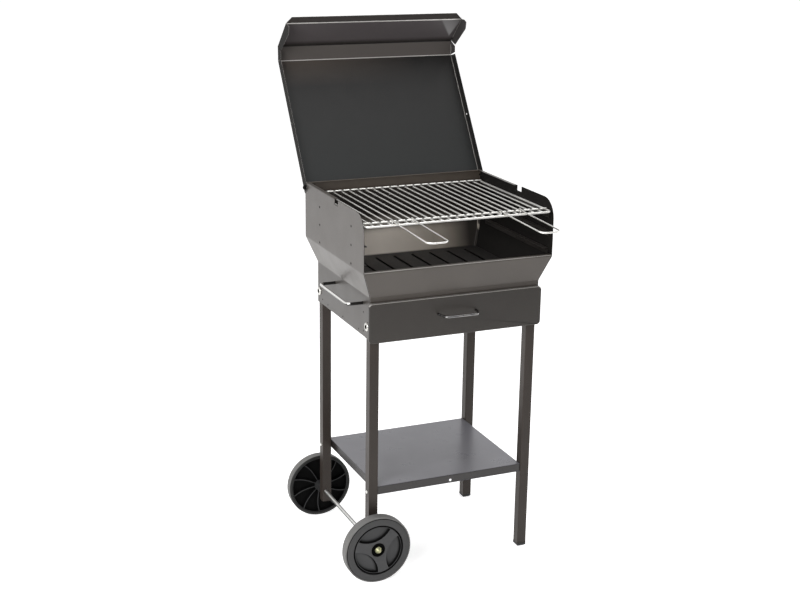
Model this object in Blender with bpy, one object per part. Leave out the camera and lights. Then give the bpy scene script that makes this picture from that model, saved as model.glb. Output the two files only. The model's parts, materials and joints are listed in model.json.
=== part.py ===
"""Charcoal barbecue of folded sheet steel on a frame of square tube.

Metres, +Z up, +X to the right along the front, +Y to the back. The sizes below are
taken from the middle of the body at floor level. At the end everything is moved
sideways so that the origin lies on the floor under the middle of the whole outline.
The lid stands open, the drawer is shut, the cooking grid lies on its top pair of
rails with both of its wire handles turned forward.
"""
import math

import bmesh
import bpy
from mathutils import Matrix, Vector

MM = 0.001

# Clearances
GAP = 0.3 * MM             # between pieces that touch
FIT = 0.4 * MM             # around a rod or screw in its hole, on the radius
RUN = 1.0 * MM             # around a piece that slides or turns

# Sheets
SHEET = 1.2 * MM           # body, drawer front and shelf
LID_SHEET = 1.0 * MM
TRAY_SHEET = 1.0 * MM
GRATE_SHEET = 1.5 * MM
RAIL_SHEET = 1.5 * MM

# Body, outer faces
BODY_HALF_TOP = 258.0 * MM
BODY_HALF_LOW = 233.0 * MM
BODY_FRONT_TOP = -209.0 * MM
BODY_BACK_TOP = 209.0 * MM
BODY_FRONT_LOW = -188.0 * MM
BODY_BACK_LOW = 182.0 * MM
BODY_BOTTOM = 639.0 * MM
LOWER_WALL = 110.0 * MM
WAIST_RISE = 66.0 * MM
RIM_ROUND = 50.0 * MM
RIM_FOLD = 11.0 * MM
FRONT_SHEET_LIP = 4.0 * MM
FRONT_SHEET_FOLD = 12.0 * MM
FRONT_SHEET_DROP = 22.0 * MM
BACK_FOLD = 9.0 * MM
BACK_TAB = 10.0 * MM
BACK_TAB_BELOW_RIM = 32.0 * MM
SPIT_NOTCH_Y = -22.0 * MM
SPIT_NOTCH_WIDTH = 24.0 * MM
SPIT_NOTCH_DEPTH = 14.5 * MM
RUNNER_WIDTH = 35.0 * MM

# Small holes in the lower side sheets: row along the bottom, then the odd ones
AIR_HOLE = 2.2 * MM
AIR_ROW_PITCH = 110.0 * MM
AIR_ROW_Y = -4.5 * MM
AIR_ROW_RISE = 10.0 * MM
AIR_END_Y = 146.0 * MM
AIR_END_RISE = 14.0 * MM
AIR_HIGH_RISE = 63.0 * MM

# Legs
TUBE = 25.0 * MM
TUBE_WALL = 1.5 * MM
LEG_BELOW_WAIST = 6.0 * MM
LEG_FRONT = -184.0 * MM
LEFT_LEG_BOTTOM = 60.0 * MM
FOOT_HEIGHT = 9.0 * MM
FOOT_CHAMFER = 3.0 * MM
FOOT_PLUG = 18.0 * MM
SCREW = 3.0 * MM
LEG_BOLT_RISE = 32.0 * MM
LEG_BOLT_HEAD = 10.5 * MM
LEG_BOLT_HEAD_HEIGHT = 4.0 * MM
LEG_BOLT_LENGTH = 12.0 * MM
BACK_SCREW_RISES = (8.0 * MM, 67.0 * MM)
BACK_SCREW_HEAD = 5.0 * MM
BACK_SCREW_HEAD_HEIGHT = 4.0 * MM
BACK_SCREW_LENGTH = 8.0 * MM

# Shelf
SHELF_TOP = 243.0 * MM
SHELF_FLANGE = 22.0 * MM
SHELF_FRONT = -182.0 * MM
SHELF_BACK = 174.0 * MM
SHELF_HOLE = 3.5 * MM
SHELF_SCREW_DROP = 15.0 * MM
SHELF_SCREW_HEAD = 5.0 * MM
SHELF_SCREW_HEAD_HEIGHT = 3.0 * MM
SHELF_SCREW_END = 4.0 * MM

# Shape of a domed screw head, as shares of its height and radius
DOME = ((1.0, 0.45), (0.75, 0.80), (0.35, 0.97))

# Wheels and axle
WHEEL_RADIUS = 90.0 * MM
WHEEL_WIDTH = 27.0 * MM
WHEEL_OFF_LEG = 21.0 * MM
FACE_RADIUS = 84.5 * MM
FACE_SHOULDER = 2.0 * MM
FACE_SHOULDER_DEPTH = 1.2 * MM
TREAD_SHOULDER_DEPTH = 4.0 * MM
BACK_SHOULDER = 2.0 * MM
RING_INNER = 65.5 * MM
RING_BEVEL = 2.0 * MM
SPOKE_SINK = 1.5 * MM
POCKET_SINK = 12.0 * MM
POCKET_RIM = 3.0 * MM
POCKET_NEAR = 25.0 * MM
POCKET_HALF_ANGLE = math.radians(46.0)
POCKET_TURN = math.radians(104.0)
HUB_RADIUS = 18.5 * MM
HUB_BEVEL = 1.0 * MM
HUB_TAPER = (2.0 * MM, 3.0 * MM, 5.0 * MM)
WEB = 4.0 * MM
BACK_RIM_INNER = 81.5 * MM
BACK_RIM_BEVEL = 1.0 * MM
BACK_RIBS = 10
BACK_RIB = 2.6 * MM
BACK_RIB_TURN = math.radians(28.0)
BACK_RIB_INTO_HUB = 3.5 * MM
BACK_RIB_INTO_RIM = 1.0 * MM
BACK_RIB_INTO_WEB = 0.5 * MM
BACK_RIB_SUNK = 2.0 * MM
BACK_RIB_SWEEP = math.radians(-9.0)
AXLE = 5.0 * MM
AXLE_OUTWARD = 4.0 * MM
AXLE_END = 3.0 * MM
AXLE_CHAMFER = 0.8 * MM
HUB_CAP = 9.5 * MM
HUB_CAP_HEIGHT = 5.0 * MM
HUB_CAP_CROWN = 2.2 * MM
HUB_CAP_TOP = 2.6 * MM

# Shares of the cap's radius: at the side, where it turns over, at the crown, at the top
CAP_SIDE = 0.98
CAP_TURN = 0.80
CAP_CROWN = 0.45
CAP_TOP = 0.10

# Rails for the grid
RAIL_HOLE_BELOW_RIM = 44.0 * MM
RAIL_PITCH = 47.0 * MM
RAIL_COUNT = 3
RAIL_HOLE_BACK = 99.0 * MM
RAIL_HOLE_FRONT = -124.0 * MM
RAIL_FRONT = -190.0 * MM
RAIL_BACK = 168.0 * MM
RAIL_ABOVE_HOLE = 10.0 * MM
RAIL_BELOW_HOLE = 6.0 * MM
RAIL_OVER_WAIST = 2.0 * MM
RAIL_SEAT = 14.0 * MM
RAIL_STUD = 3.0 * MM

# Cooking grid
GRID_FRAME = 3.0 * MM
GRID_ROD = 2.0 * MM
GRID_BAR = 2.5 * MM
GRID_WELD = 0.3 * MM
GRID_RODS = 21
GRID_SIDE = 4.9 * MM
GRID_INSIDE_FRONT = 3.5 * MM
GRID_INNER_BAR = 25.0 * MM
GRID_INSIDE_BACK = 17.5 * MM
GRID_TIPS = 10.0 * MM
GRID_CORNER = 14.0 * MM

# Wire handles of the grid
WIRE = 2.0 * MM
WIRE_NEAR_ROD = 5
WIRE_FAR_ROD = 8
WIRE_REACH = 216.5 * MM
WIRE_CORNER = 17.0 * MM
WIRE_DROOP = 4.5 * MM
WIRE_CURL = math.radians(285.0)

# Charcoal grate
GRATE_RISE = 3.0 * MM
GRATE_INSIDE = 2.0 * MM
SLOT_COUNT = 8
SLOT_PITCH = 53.0 * MM
SLOT_WIDTH = 8.0 * MM
SLOT_MARGIN = 22.0 * MM

# Drawer
DRAWER_BEFORE_BODY = 9.6 * MM
DRAWER_OVER_SIDE = 5.0 * MM
DRAWER_BELOW_BODY = 6.0 * MM
DRAWER_HEIGHT = 102.0 * MM
DRAWER_ROUND = 9.0 * MM
DRAWER_FOLD = 7.5 * MM
TRAY_HEIGHT = 84.0 * MM
TRAY_BACK = 150.0 * MM
PULL_HALF = 52.0 * MM
PULL_BAR_HALF = 43.5 * MM
PULL_STRAIGHT = 4.0 * MM
PULL_RISE = 58.5 * MM
PULL_ROD = 3.0 * MM
PULL_REACH = 33.0 * MM
PULL_CORNER = 9.0 * MM

# Carrying handle on the left side
CARRY_ROD = 4.0 * MM
CARRY_BACK = 54.0 * MM
CARRY_FRONT = -140.0 * MM
CARRY_RISE = 85.0 * MM
CARRY_REACH = 41.0 * MM
CARRY_CORNER = 12.0 * MM
CARRY_INSIDE = 4.0 * MM

# Lid, measured shut: lengths along the sheet from crease to crease
HINGE_DROP = 13.0 * MM
HINGE_IN = 6.0 * MM
LID_OVER_RIM = 1.6 * MM
LID_SIDE_GAP = 0.5 * MM
LID_MAIN = 375.0 * MM
LID_BAND = 40.0 * MM
LID_FRONT = 95.0 * MM
LID_LIP = 17.0 * MM
LID_BEND_BAND = math.radians(31.0)
LID_BEND_FRONT = math.radians(48.0)
LID_BEND_LIP = math.radians(-46.0)
LID_FLANGE = 26.0 * MM
LID_CHEEK = 35.0 * MM
LID_CHEEK_TIP = 24.0 * MM
LID_CHEEK_END = 11.0 * MM
LID_CHEEK_OVERHANG = 16.0 * MM
LID_EYELET = 2.5 * MM
LID_EYELET_ALONG = 186.0 * MM
LID_EYELET_IN = 10.0 * MM
LID_LIP_CHAMFER = 18.0 * MM
LID_SLIT = 1.2 * MM
LID_LEAN = math.radians(33.3)
HINGE_HEAD = 6.5 * MM
HINGE_HEAD_HEIGHT = 6.5 * MM
NUT_RADIUS = 4.8 * MM
NUT_HEIGHT = 3.5 * MM

# Derived places
WAIST_LOW = BODY_BOTTOM + LOWER_WALL
WAIST_HIGH = WAIST_LOW + WAIST_RISE
UPPER_WALL = (RAIL_OVER_WAIST + RAIL_BELOW_HOLE + RAIL_PITCH * (RAIL_COUNT - 1)
              + RAIL_HOLE_BELOW_RIM)
RIM = WAIST_HIGH + UPPER_WALL
LEG_TOP = WAIST_LOW - LEG_BELOW_WAIST
LEG_BOLT_Z = BODY_BOTTOM + LEG_BOLT_RISE
RAIL_HOLE_TOP = RIM - RAIL_HOLE_BELOW_RIM
GRATE_BOTTOM = WAIST_LOW + GRATE_RISE
GRATE_FRONT = BODY_FRONT_LOW + GRATE_INSIDE
GRATE_BACK = BODY_BACK_LOW - BACK_TAB - GAP
DRAWER_FACE = BODY_FRONT_LOW - DRAWER_BEFORE_BODY
DRAWER_HALF = BODY_HALF_LOW + DRAWER_OVER_SIDE
DRAWER_LOW = BODY_BOTTOM - DRAWER_BELOW_BODY
DRAWER_HIGH = DRAWER_LOW + DRAWER_HEIGHT
PULL_Z = DRAWER_LOW + PULL_RISE
CARRY_Z = BODY_BOTTOM + CARRY_RISE
SLANT_OUT = (BODY_HALF_TOP - BODY_HALF_LOW) / (WAIST_HIGH - WAIST_LOW)
SLANT_COS = 1.0 / math.hypot(1.0, SLANT_OUT)
BODY_INNER_TOP = BODY_HALF_TOP - SHEET
BODY_INNER_LOW = BODY_HALF_LOW - SHEET
LEG_OUTER = BODY_INNER_LOW - SHEET - 2 * GAP
LEG_INNER = LEG_OUTER - TUBE
LEG_MID_X = LEG_OUTER - TUBE / 2
LEG_BACK = BODY_BACK_LOW - SHEET - GAP
FRONT_LEG_Y = LEG_FRONT + TUBE / 2
BACK_LEG_Y = LEG_BACK - TUBE / 2
AXLE_X = LEG_MID_X + AXLE_OUTWARD
AXLE_Z = WHEEL_RADIUS
HINGE_Y = BODY_BACK_TOP - HINGE_IN
HINGE_Z = RIM - HINGE_DROP
LID_RISE = HINGE_DROP + LID_OVER_RIM
LID_OPEN = math.pi / 2 + LID_LEAN
LID_HALF = BODY_HALF_TOP + LID_SIDE_GAP + LID_SHEET
LID_TAIL = (LID_RISE * math.cos(LID_LEAN) - HINGE_IN - GAP) / math.sin(LID_LEAN)
RAIL_TOPS = [RAIL_HOLE_TOP + RAIL_ABOVE_HOLE - i * RAIL_PITCH for i in range(RAIL_COUNT)]
GRID_Z = RAIL_TOPS[0] + GAP + GRID_FRAME
GRID_HALF = BODY_INNER_TOP - GRID_SIDE
GRID_PITCH = 2 * GRID_HALF / (GRID_RODS + 1)
GRID_FRONT = BODY_FRONT_TOP + GRID_INSIDE_FRONT
GRID_BACK_BAR = BODY_BACK_TOP - GRID_INSIDE_BACK
WIRE_NEAR = GRID_PITCH * WIRE_NEAR_ROD + GRID_PITCH / 4
WIRE_FAR = GRID_PITCH * WIRE_FAR_ROD - GRID_PITCH * 3 / 8
EYE_Z = GRID_Z + GRID_ROD + GRID_BAR - GRID_WELD
EYE_Y = GRID_FRONT + GRID_INNER_BAR
EYE_RADIUS = GRID_BAR + GAP + WIRE
WIRE_REST = GRID_Z + GRID_FRAME + GAP + WIRE - EYE_Z
GRATE_HALF = (BODY_HALF_LOW + (GRATE_BOTTOM - WAIST_LOW) * SLANT_OUT
              - SHEET / SLANT_COS - GAP)
TRAY_HALF = LEG_INNER - RUN
TRAY_BOTTOM = BODY_BOTTOM + SHEET + GAP

# Surfaces: colour, roughness, metallic
PAINTS = {
    "paint": ((0.13, 0.12, 0.115, 1.0), 0.42, 0.55),
    "paint_dark": ((0.075, 0.07, 0.067, 1.0), 0.45, 0.50),
    "soot": ((0.025, 0.024, 0.023, 1.0), 0.75, 0.20),
    "chrome": ((0.80, 0.80, 0.79, 1.0), 0.16, 1.0),
    "zinc": ((0.62, 0.60, 0.54, 1.0), 0.32, 1.0),
    "black": ((0.012, 0.012, 0.012, 1.0), 0.50, 0.0),
    "wheel": ((0.075, 0.075, 0.076, 1.0), 0.55, 0.0),
    "blackened": ((0.03, 0.03, 0.03, 1.0), 0.35, 0.8),
}
AXIS_X = Vector((1.0, 0.0, 0.0))
AXIS_Y = Vector((0.0, 1.0, 0.0))
AXIS_Z = Vector((0.0, 0.0, 1.0))
SOFT_EDGE = math.radians(40.0)
SAME_WAY = 0.9999
SCREW_SIDES = 16
BOLT_SIDES = 20
NUT_SIDES = 6
HOLE_SIDES = 12
BAR_SIDES = 12
WIRE_SIDES = 8
WHEEL_SIDES = 48
BAR_BEND = 5
WIRE_BEND = 6
FRAME_BEND = 4
CURL_STEPS = 12


# Scene and object helpers
def clear_scene():
    for obj in list(bpy.data.objects):
        bpy.data.objects.remove(obj, do_unlink=True)


def make_material(kind, name):
    colour, roughness, metallic = PAINTS[kind]
    mat = bpy.data.materials.new(name)
    mat.use_nodes = True
    shader = mat.node_tree.nodes["Principled BSDF"]
    shader.inputs["Base Color"].default_value = colour
    shader.inputs["Roughness"].default_value = roughness
    shader.inputs["Metallic"].default_value = metallic
    mat.diffuse_color = colour
    return mat


def add_object(name, bm, kind, origin=None, smooth=False):
    """Turn a bmesh into a named object whose origin sits at origin."""
    if origin is not None:
        bmesh.ops.translate(bm, verts=bm.verts, vec=-origin)
    mesh = bpy.data.meshes.new(name)
    bm.to_mesh(mesh)
    bm.free()
    if smooth:
        mesh.shade_smooth()
        mesh.set_sharp_from_angle(angle=SOFT_EDGE)
    obj = bpy.data.objects.new(name, mesh)
    bpy.context.scene.collection.objects.link(obj)
    if origin is not None:
        obj.location = origin
    if kind:
        mesh.materials.append(make_material(kind, name))
    return obj


def frame_on(axis):
    """Two unit vectors square to axis."""
    helper = AXIS_X if abs(axis.dot(AXIS_Z)) > SAME_WAY else AXIS_Z
    side = axis.cross(helper).normalized()
    return side, side.cross(axis).normalized()


def ring(bm, centre, side, up, radius, sides):
    verts = []
    for i in range(sides):
        angle = 2 * math.pi * (i + 0.5) / sides
        verts.append(bm.verts.new(
            centre + side * (radius * math.cos(angle)) + up * (radius * math.sin(angle))))
    return verts


def bridge(bm, first, second):
    count = len(first)
    for i in range(count):
        j = (i + 1) % count
        bm.faces.new((first[i], first[j], second[j], second[i]))


def face_out(bm):
    bmesh.ops.recalc_face_normals(bm, faces=bm.faces)
    return bm


def turned(start, axis, profile, sides):
    """Solid of revolution about a line. profile lists (distance along, radius)."""
    bm = bmesh.new()
    side, up = frame_on(axis)
    rings = [ring(bm, start + axis * along, side, up, radius, sides)
             for along, radius in profile]
    for first, second in zip(rings, rings[1:]):
        bridge(bm, first, second)
    bm.faces.new(rings[0])
    bm.faces.new(rings[-1])
    return face_out(bm)


def rounded(points, radius, steps):
    """Replace the inner corners of a polyline by arcs."""
    path = [points[0]]
    for before, corner, after in zip(points, points[1:], points[2:]):
        one = (before - corner).normalized()
        two = (after - corner).normalized()
        half = one.angle(two) / 2
        reach = radius / math.tan(half)
        centre = corner + (one + two).normalized() * (radius / math.sin(half))
        start = corner + one * reach - centre
        end = corner + two * reach - centre
        turn = start.angle(end)
        for i in range(steps + 1):
            share = i / steps
            path.append(centre + (start * math.sin((1 - share) * turn)
                                  + end * math.sin(share * turn)) / math.sin(turn))
    path.append(points[-1])
    return path


def rod(path, radius, sides):
    """Round rod along a path, with flat ends."""
    bm = bmesh.new()
    rings = []
    side = None
    for i, point in enumerate(path):
        before = path[i] - path[i - 1] if i else path[1] - path[0]
        after = path[i + 1] - path[i] if i + 1 < len(path) else path[i] - path[i - 1]
        along = (before.normalized() + after.normalized()).normalized()
        if side is None:
            side, up = frame_on(along)
        side = (side - along * side.dot(along)).normalized()
        up = side.cross(along).normalized()
        rings.append(ring(bm, point, side, up, radius, sides))
    for first, second in zip(rings, rings[1:]):
        bridge(bm, first, second)
    bm.faces.new(rings[0])
    bm.faces.new(rings[-1])
    return face_out(bm)


def prism(outline, start, depth):
    """Extrude a flat outline, given as vectors, by the vector depth from start."""
    bm = bmesh.new()
    near = [bm.verts.new(start + point) for point in outline]
    far = [bm.verts.new(start + point + depth) for point in outline]
    bridge(bm, near, far)
    bm.faces.new(near)
    bm.faces.new(far)
    return face_out(bm)


def block(low, high):
    outline = [Vector((0, 0, 0)), Vector((high.x - low.x, 0, 0)),
               Vector((high.x - low.x, high.y - low.y, 0)), Vector((0, high.y - low.y, 0))]
    return prism(outline, low, Vector((0, 0, high.z - low.z)))


def folded(faces, thickness, mirror_x=False):
    """Folded sheet from the polygons of its outer face.

    Each polygon runs anticlockwise as seen from outside. The thickness goes inward.
    """
    bm = bmesh.new()
    for polygon in faces:
        corners = [Vector((-p.x, p.y, p.z)) if mirror_x else p for p in polygon]
        if mirror_x:
            corners.reverse()
        bm.faces.new([bm.verts.new(corner) for corner in corners])
    bmesh.ops.remove_doubles(bm, verts=bm.verts, dist=GAP / 10)
    normals = {}
    for face in bm.faces:
        face.normal_update()
    for vert in bm.verts:
        normals[vert] = inset_vector([face.normal for face in vert.link_faces])
    inner = {vert: bm.verts.new(vert.co - normals[vert] * thickness)
             for vert in list(bm.verts)}
    outer_faces = list(bm.faces)
    border = [edge for edge in bm.edges if len(edge.link_faces) == 1]
    for face in outer_faces:
        bm.faces.new([inner[vert] for vert in reversed(face.verts)])
    for edge in border:
        a, b = edge.verts
        bm.faces.new((a, b, inner[b], inner[a]))
    return face_out(bm)


def inset_vector(normals):
    """Vector that moves a corner inward by one unit from each plane that meets there."""
    distinct = []
    for normal in normals:
        if all(normal.dot(other) < SAME_WAY for other in distinct):
            distinct.append(normal.copy())
    if len(distinct) == 1:
        return distinct[0]
    if len(distinct) == 2:
        total = distinct[0] + distinct[1]
        return total / (1.0 + distinct[0].dot(distinct[1]))
    rows = Matrix((distinct[0], distinct[1], distinct[2]))
    return rows.inverted() @ Vector((1.0, 1.0, 1.0))


def use(obj, tool, operation):
    """Boolean modifier on obj with a hidden tool object."""
    tool.hide_render = True
    tool.display_type = 'WIRE'
    modifier = obj.modifiers.new(tool.name, 'BOOLEAN')
    modifier.operation = operation
    modifier.object = tool
    modifier.solver = 'EXACT'


def drill(obj, label, start, end, radius, sides=SCREW_SIDES):
    """Cut a round hole from start to end."""
    along = end - start
    bm = turned(start, along.normalized(), ((0.0, radius), (along.length, radius)), sides)
    use(obj, add_object(f"{obj.name}_{label}", bm, None), 'DIFFERENCE')


def screw(name, seat, inward, head, head_height, shank, length, kind, sides=SCREW_SIDES):
    """Dome-headed screw. seat lies on the surface under the head."""
    profile = [(-head_height * rise - GAP, head * width) for rise, width in DOME]
    profile += [(-GAP, head), (-GAP, shank), (length, shank)]
    return add_object(name, turned(seat, inward, profile, sides), kind, smooth=True)


def join(bm, other):
    """Copy the geometry of other into bm."""
    mesh = bpy.data.meshes.new("part")
    other.to_mesh(mesh)
    other.free()
    bm.from_mesh(mesh)
    bpy.data.meshes.remove(mesh)


# Body
def side_outline(step_count=6):
    """Upper side sheet in (y, z), from its back lower corner over the rim to the front."""
    back = SPIT_NOTCH_Y + SPIT_NOTCH_WIDTH / 2
    front = SPIT_NOTCH_Y - SPIT_NOTCH_WIDTH / 2
    points = [
        (BODY_BACK_TOP, WAIST_HIGH),
        (BODY_BACK_TOP, RIM),
        (BODY_BACK_TOP - SHEET - 2 * GAP, RIM),
        (back + SHEET, RIM),
        (back, RIM),
        (back, RIM - SPIT_NOTCH_DEPTH),
        (front, RIM - SPIT_NOTCH_DEPTH),
        (front, RIM),
    ]
    for i in range(step_count + 1):
        angle = math.pi / 2 * i / step_count
        points.append((BODY_FRONT_TOP + RIM_ROUND * (1 - math.sin(angle)),
                       RIM - RIM_ROUND * (1 - math.cos(angle))))
    points.append((BODY_FRONT_TOP, WAIST_HIGH))
    return points


def side_panel(name, side):
    """Folded side sheet. side is +1 on the right and -1 on the left."""
    top = [Vector((BODY_HALF_TOP, y, z)) for y, z in side_outline()]
    slant = [
        Vector((BODY_HALF_LOW, BODY_FRONT_LOW, WAIST_LOW)),
        Vector((BODY_HALF_LOW, BODY_BACK_LOW, WAIST_LOW)),
        Vector((BODY_HALF_TOP, BODY_BACK_TOP, WAIST_HIGH)),
        Vector((BODY_HALF_TOP, BODY_FRONT_TOP, WAIST_HIGH)),
    ]
    runner_front = LEG_FRONT + TUBE + RUN
    runner_back = LEG_BACK - TUBE - RUN
    low = [
        Vector((BODY_HALF_LOW, BODY_FRONT_LOW, WAIST_LOW)),
        Vector((BODY_HALF_LOW, BODY_FRONT_LOW, BODY_BOTTOM)),
        Vector((BODY_HALF_LOW, runner_front, BODY_BOTTOM)),
        Vector((BODY_HALF_LOW, runner_back, BODY_BOTTOM)),
        Vector((BODY_HALF_LOW, BODY_BACK_LOW, BODY_BOTTOM)),
        Vector((BODY_HALF_LOW, BODY_BACK_LOW, WAIST_LOW)),
    ]
    runner = [
        low[3],
        low[2],
        low[2] - AXIS_X * RUNNER_WIDTH,
        low[3] - AXIS_X * RUNNER_WIDTH,
    ]
    fold = [
        top[2],
        top[2] - AXIS_X * RIM_FOLD,
        top[3] - AXIS_X * RIM_FOLD,
        top[3],
    ]
    bm = folded([top, slant, low, runner, fold], SHEET, mirror_x=side < 0)
    panel = add_object(name, bm, "paint")
    outside = side * (BODY_HALF_TOP + RUN)
    inside = side * (BODY_INNER_TOP - RUN)
    for i in range(RAIL_COUNT):
        z = RAIL_HOLE_TOP - i * RAIL_PITCH
        for label, y in (("back", RAIL_HOLE_BACK), ("front", RAIL_HOLE_FRONT)):
            drill(panel, f"rail_{label}_{i}", Vector((outside, y, z)), Vector((inside, y, z)),
                  RAIL_STUD + FIT, HOLE_SIDES)
    drill(panel, "hinge", Vector((outside, HINGE_Y, HINGE_Z)),
          Vector((inside, HINGE_Y, HINGE_Z)), SCREW + FIT)
    outside = side * (BODY_HALF_LOW + RUN)
    inside = side * (BODY_INNER_LOW - RUN)
    spots = [(FRONT_LEG_Y, LEG_BOLT_Z, SCREW + FIT), (BACK_LEG_Y, LEG_BOLT_Z, SCREW + FIT)]
    for step in (-1, 0, 1):
        spots.append((AIR_ROW_Y + step * AIR_ROW_PITCH, BODY_BOTTOM + AIR_ROW_RISE, AIR_HOLE))
    for y, rise in ((AIR_END_Y, AIR_END_RISE), (-AIR_END_Y, AIR_END_RISE),
                    (-AIR_END_Y, AIR_HIGH_RISE)):
        spots.append((y, BODY_BOTTOM + rise, AIR_HOLE))
    if side < 0:
        spots += [(y, CARRY_Z, CARRY_ROD + FIT) for y in (CARRY_BACK, CARRY_FRONT)]
    for i, (y, z, radius) in enumerate(spots):
        drill(panel, f"low_{i}", Vector((outside, y, z)), Vector((inside, y, z)), radius,
              HOLE_SIDES)
    return panel


def back_panel():
    """Back sheet between the side sheets, with a fold on top and tabs down both sides."""
    half_top = BODY_INNER_TOP - GAP
    half_low = BODY_INNER_LOW - GAP
    top_half = half_top - RIM_FOLD
    levels = [(half_low, BODY_BACK_LOW, BODY_BOTTOM), (half_low, BODY_BACK_LOW, WAIST_LOW),
              (half_top, BODY_BACK_TOP, WAIST_HIGH),
              (half_top, BODY_BACK_TOP, RIM - BACK_TAB_BELOW_RIM),
              (half_top, BODY_BACK_TOP, RIM)]
    right = [Vector(level) for level in levels]
    left = [Vector((-v.x, v.y, v.z)) for v in right]
    fold_right = Vector((top_half, BODY_BACK_TOP, RIM))
    fold_left = Vector((-top_half, BODY_BACK_TOP, RIM))
    faces = [
        [right[0], left[0], left[1], right[1]],
        [right[1], left[1], left[2], right[2]],
        [right[2], left[2], left[3], left[4], fold_left, fold_right, right[4], right[3]],
        [fold_right, fold_left, fold_left - AXIS_Y * BACK_FOLD, fold_right - AXIS_Y * BACK_FOLD],
    ]
    tab = AXIS_Y * BACK_TAB
    for low, high in zip(right[:3], right[1:4]):
        faces.append([low, high, high - tab, low - tab])
    for low, high in zip(left[:3], left[1:4]):
        faces.append([low, low - tab, high - tab, high])
    panel = add_object("back_panel", folded(faces, SHEET), "paint")
    for side, label in ((1, "right"), (-1, "left")):
        for i, rise in enumerate(BACK_SCREW_RISES):
            spot = Vector((side * LEG_MID_X, BODY_BACK_LOW, BODY_BOTTOM + rise))
            drill(panel, f"screw_{label}_{i}", spot + AXIS_Y * RUN,
                  spot - AXIS_Y * (SHEET + RUN), SCREW + FIT)
    return panel


def front_sheet():
    """Sloping front sheet between the side sheets, with its top edge folded inward."""
    slope = (BODY_FRONT_TOP - BODY_FRONT_LOW) / (WAIST_HIGH - WAIST_LOW)
    half_top = BODY_INNER_TOP - GAP
    half_low = BODY_INNER_LOW - GAP
    top_y = BODY_FRONT_TOP
    right = [Vector((half_low, BODY_FRONT_LOW, WAIST_LOW - FRONT_SHEET_DROP)),
             Vector((half_low, BODY_FRONT_LOW, WAIST_LOW)),
             Vector((half_top, top_y, WAIST_LOW + (top_y - BODY_FRONT_LOW) / slope)),
             Vector((half_top, top_y, WAIST_HIGH + FRONT_SHEET_LIP))]
    left = [Vector((-v.x, v.y, v.z)) for v in right]
    fold = AXIS_Y * FRONT_SHEET_FOLD
    faces = [[left[i], right[i], right[i + 1], left[i + 1]] for i in range(3)]
    faces.append([left[3], right[3], right[3] + fold, left[3] + fold])
    return add_object("front_sheet", folded(faces, SHEET), "paint_dark")


# Legs, shelf, wheels
def square(half, wall=None):
    """Corners of a square in x and y, anticlockwise."""
    reach = half if wall is None else half - wall
    return [Vector((-reach, -reach, 0)), Vector((reach, -reach, 0)),
            Vector((reach, reach, 0)), Vector((-reach, reach, 0))]


def tube(centre, low, high):
    """Square tube, open at both ends."""
    bm = bmesh.new()
    loops = []
    for z, wall in ((low, None), (high, None), (high, TUBE_WALL), (low, TUBE_WALL)):
        base = Vector((centre.x, centre.y, z))
        loops.append([bm.verts.new(base + corner) for corner in square(TUBE / 2, wall)])
    for i in range(4):
        bridge(bm, loops[i], loops[(i + 1) % 4])
    return face_out(bm)


def leg(name, side, y, low, at_back):
    centre = Vector((side * LEG_MID_X, y, 0.0))
    obj = add_object(name, tube(centre, low, LEG_TOP), "paint_dark")
    outer = side * (LEG_OUTER + RUN)
    inner = side * (LEG_INNER - RUN)
    middle = side * LEG_MID_X
    drill(obj, "bolt", Vector((outer, y, LEG_BOLT_Z)), Vector((middle, y, LEG_BOLT_Z)),
          SCREW + FIT)
    shelf_z = SHELF_TOP - SHELF_SCREW_DROP
    drill(obj, "shelf", Vector((outer, y, shelf_z)), Vector((inner, y, shelf_z)), SCREW + FIT)
    if side < 0:
        reach = TUBE / 2 + RUN
        drill(obj, "axle", Vector((-AXLE_X, y - reach, AXLE_Z)),
              Vector((-AXLE_X, y + reach, AXLE_Z)), AXLE + FIT)
    if at_back:
        for i, rise in enumerate(BACK_SCREW_RISES):
            z = BODY_BOTTOM + rise
            drill(obj, f"back_{i}", Vector((middle, LEG_BACK + RUN, z)),
                  Vector((middle, y, z)), SCREW + FIT)
    return obj


def foot_cap(name, y):
    """Plastic foot: chamfered pad under the tube with a plug that fills its end."""
    centre = Vector((LEG_MID_X, y, 0.0))
    bm = bmesh.new()
    half = TUBE / 2
    plug = half - TUBE_WALL - FIT
    levels = ((0.0, half - FOOT_CHAMFER), (FOOT_CHAMFER, half), (FOOT_HEIGHT, half),
              (FOOT_HEIGHT, plug), (FOOT_HEIGHT + FOOT_PLUG, plug))
    loops = [[bm.verts.new(centre + AXIS_Z * z + corner) for corner in square(reach)]
             for z, reach in levels]
    for first, second in zip(loops, loops[1:]):
        bridge(bm, first, second)
    bm.faces.new(loops[0])
    bm.faces.new(loops[-1])
    return add_object(name, face_out(bm), "black")


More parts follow.
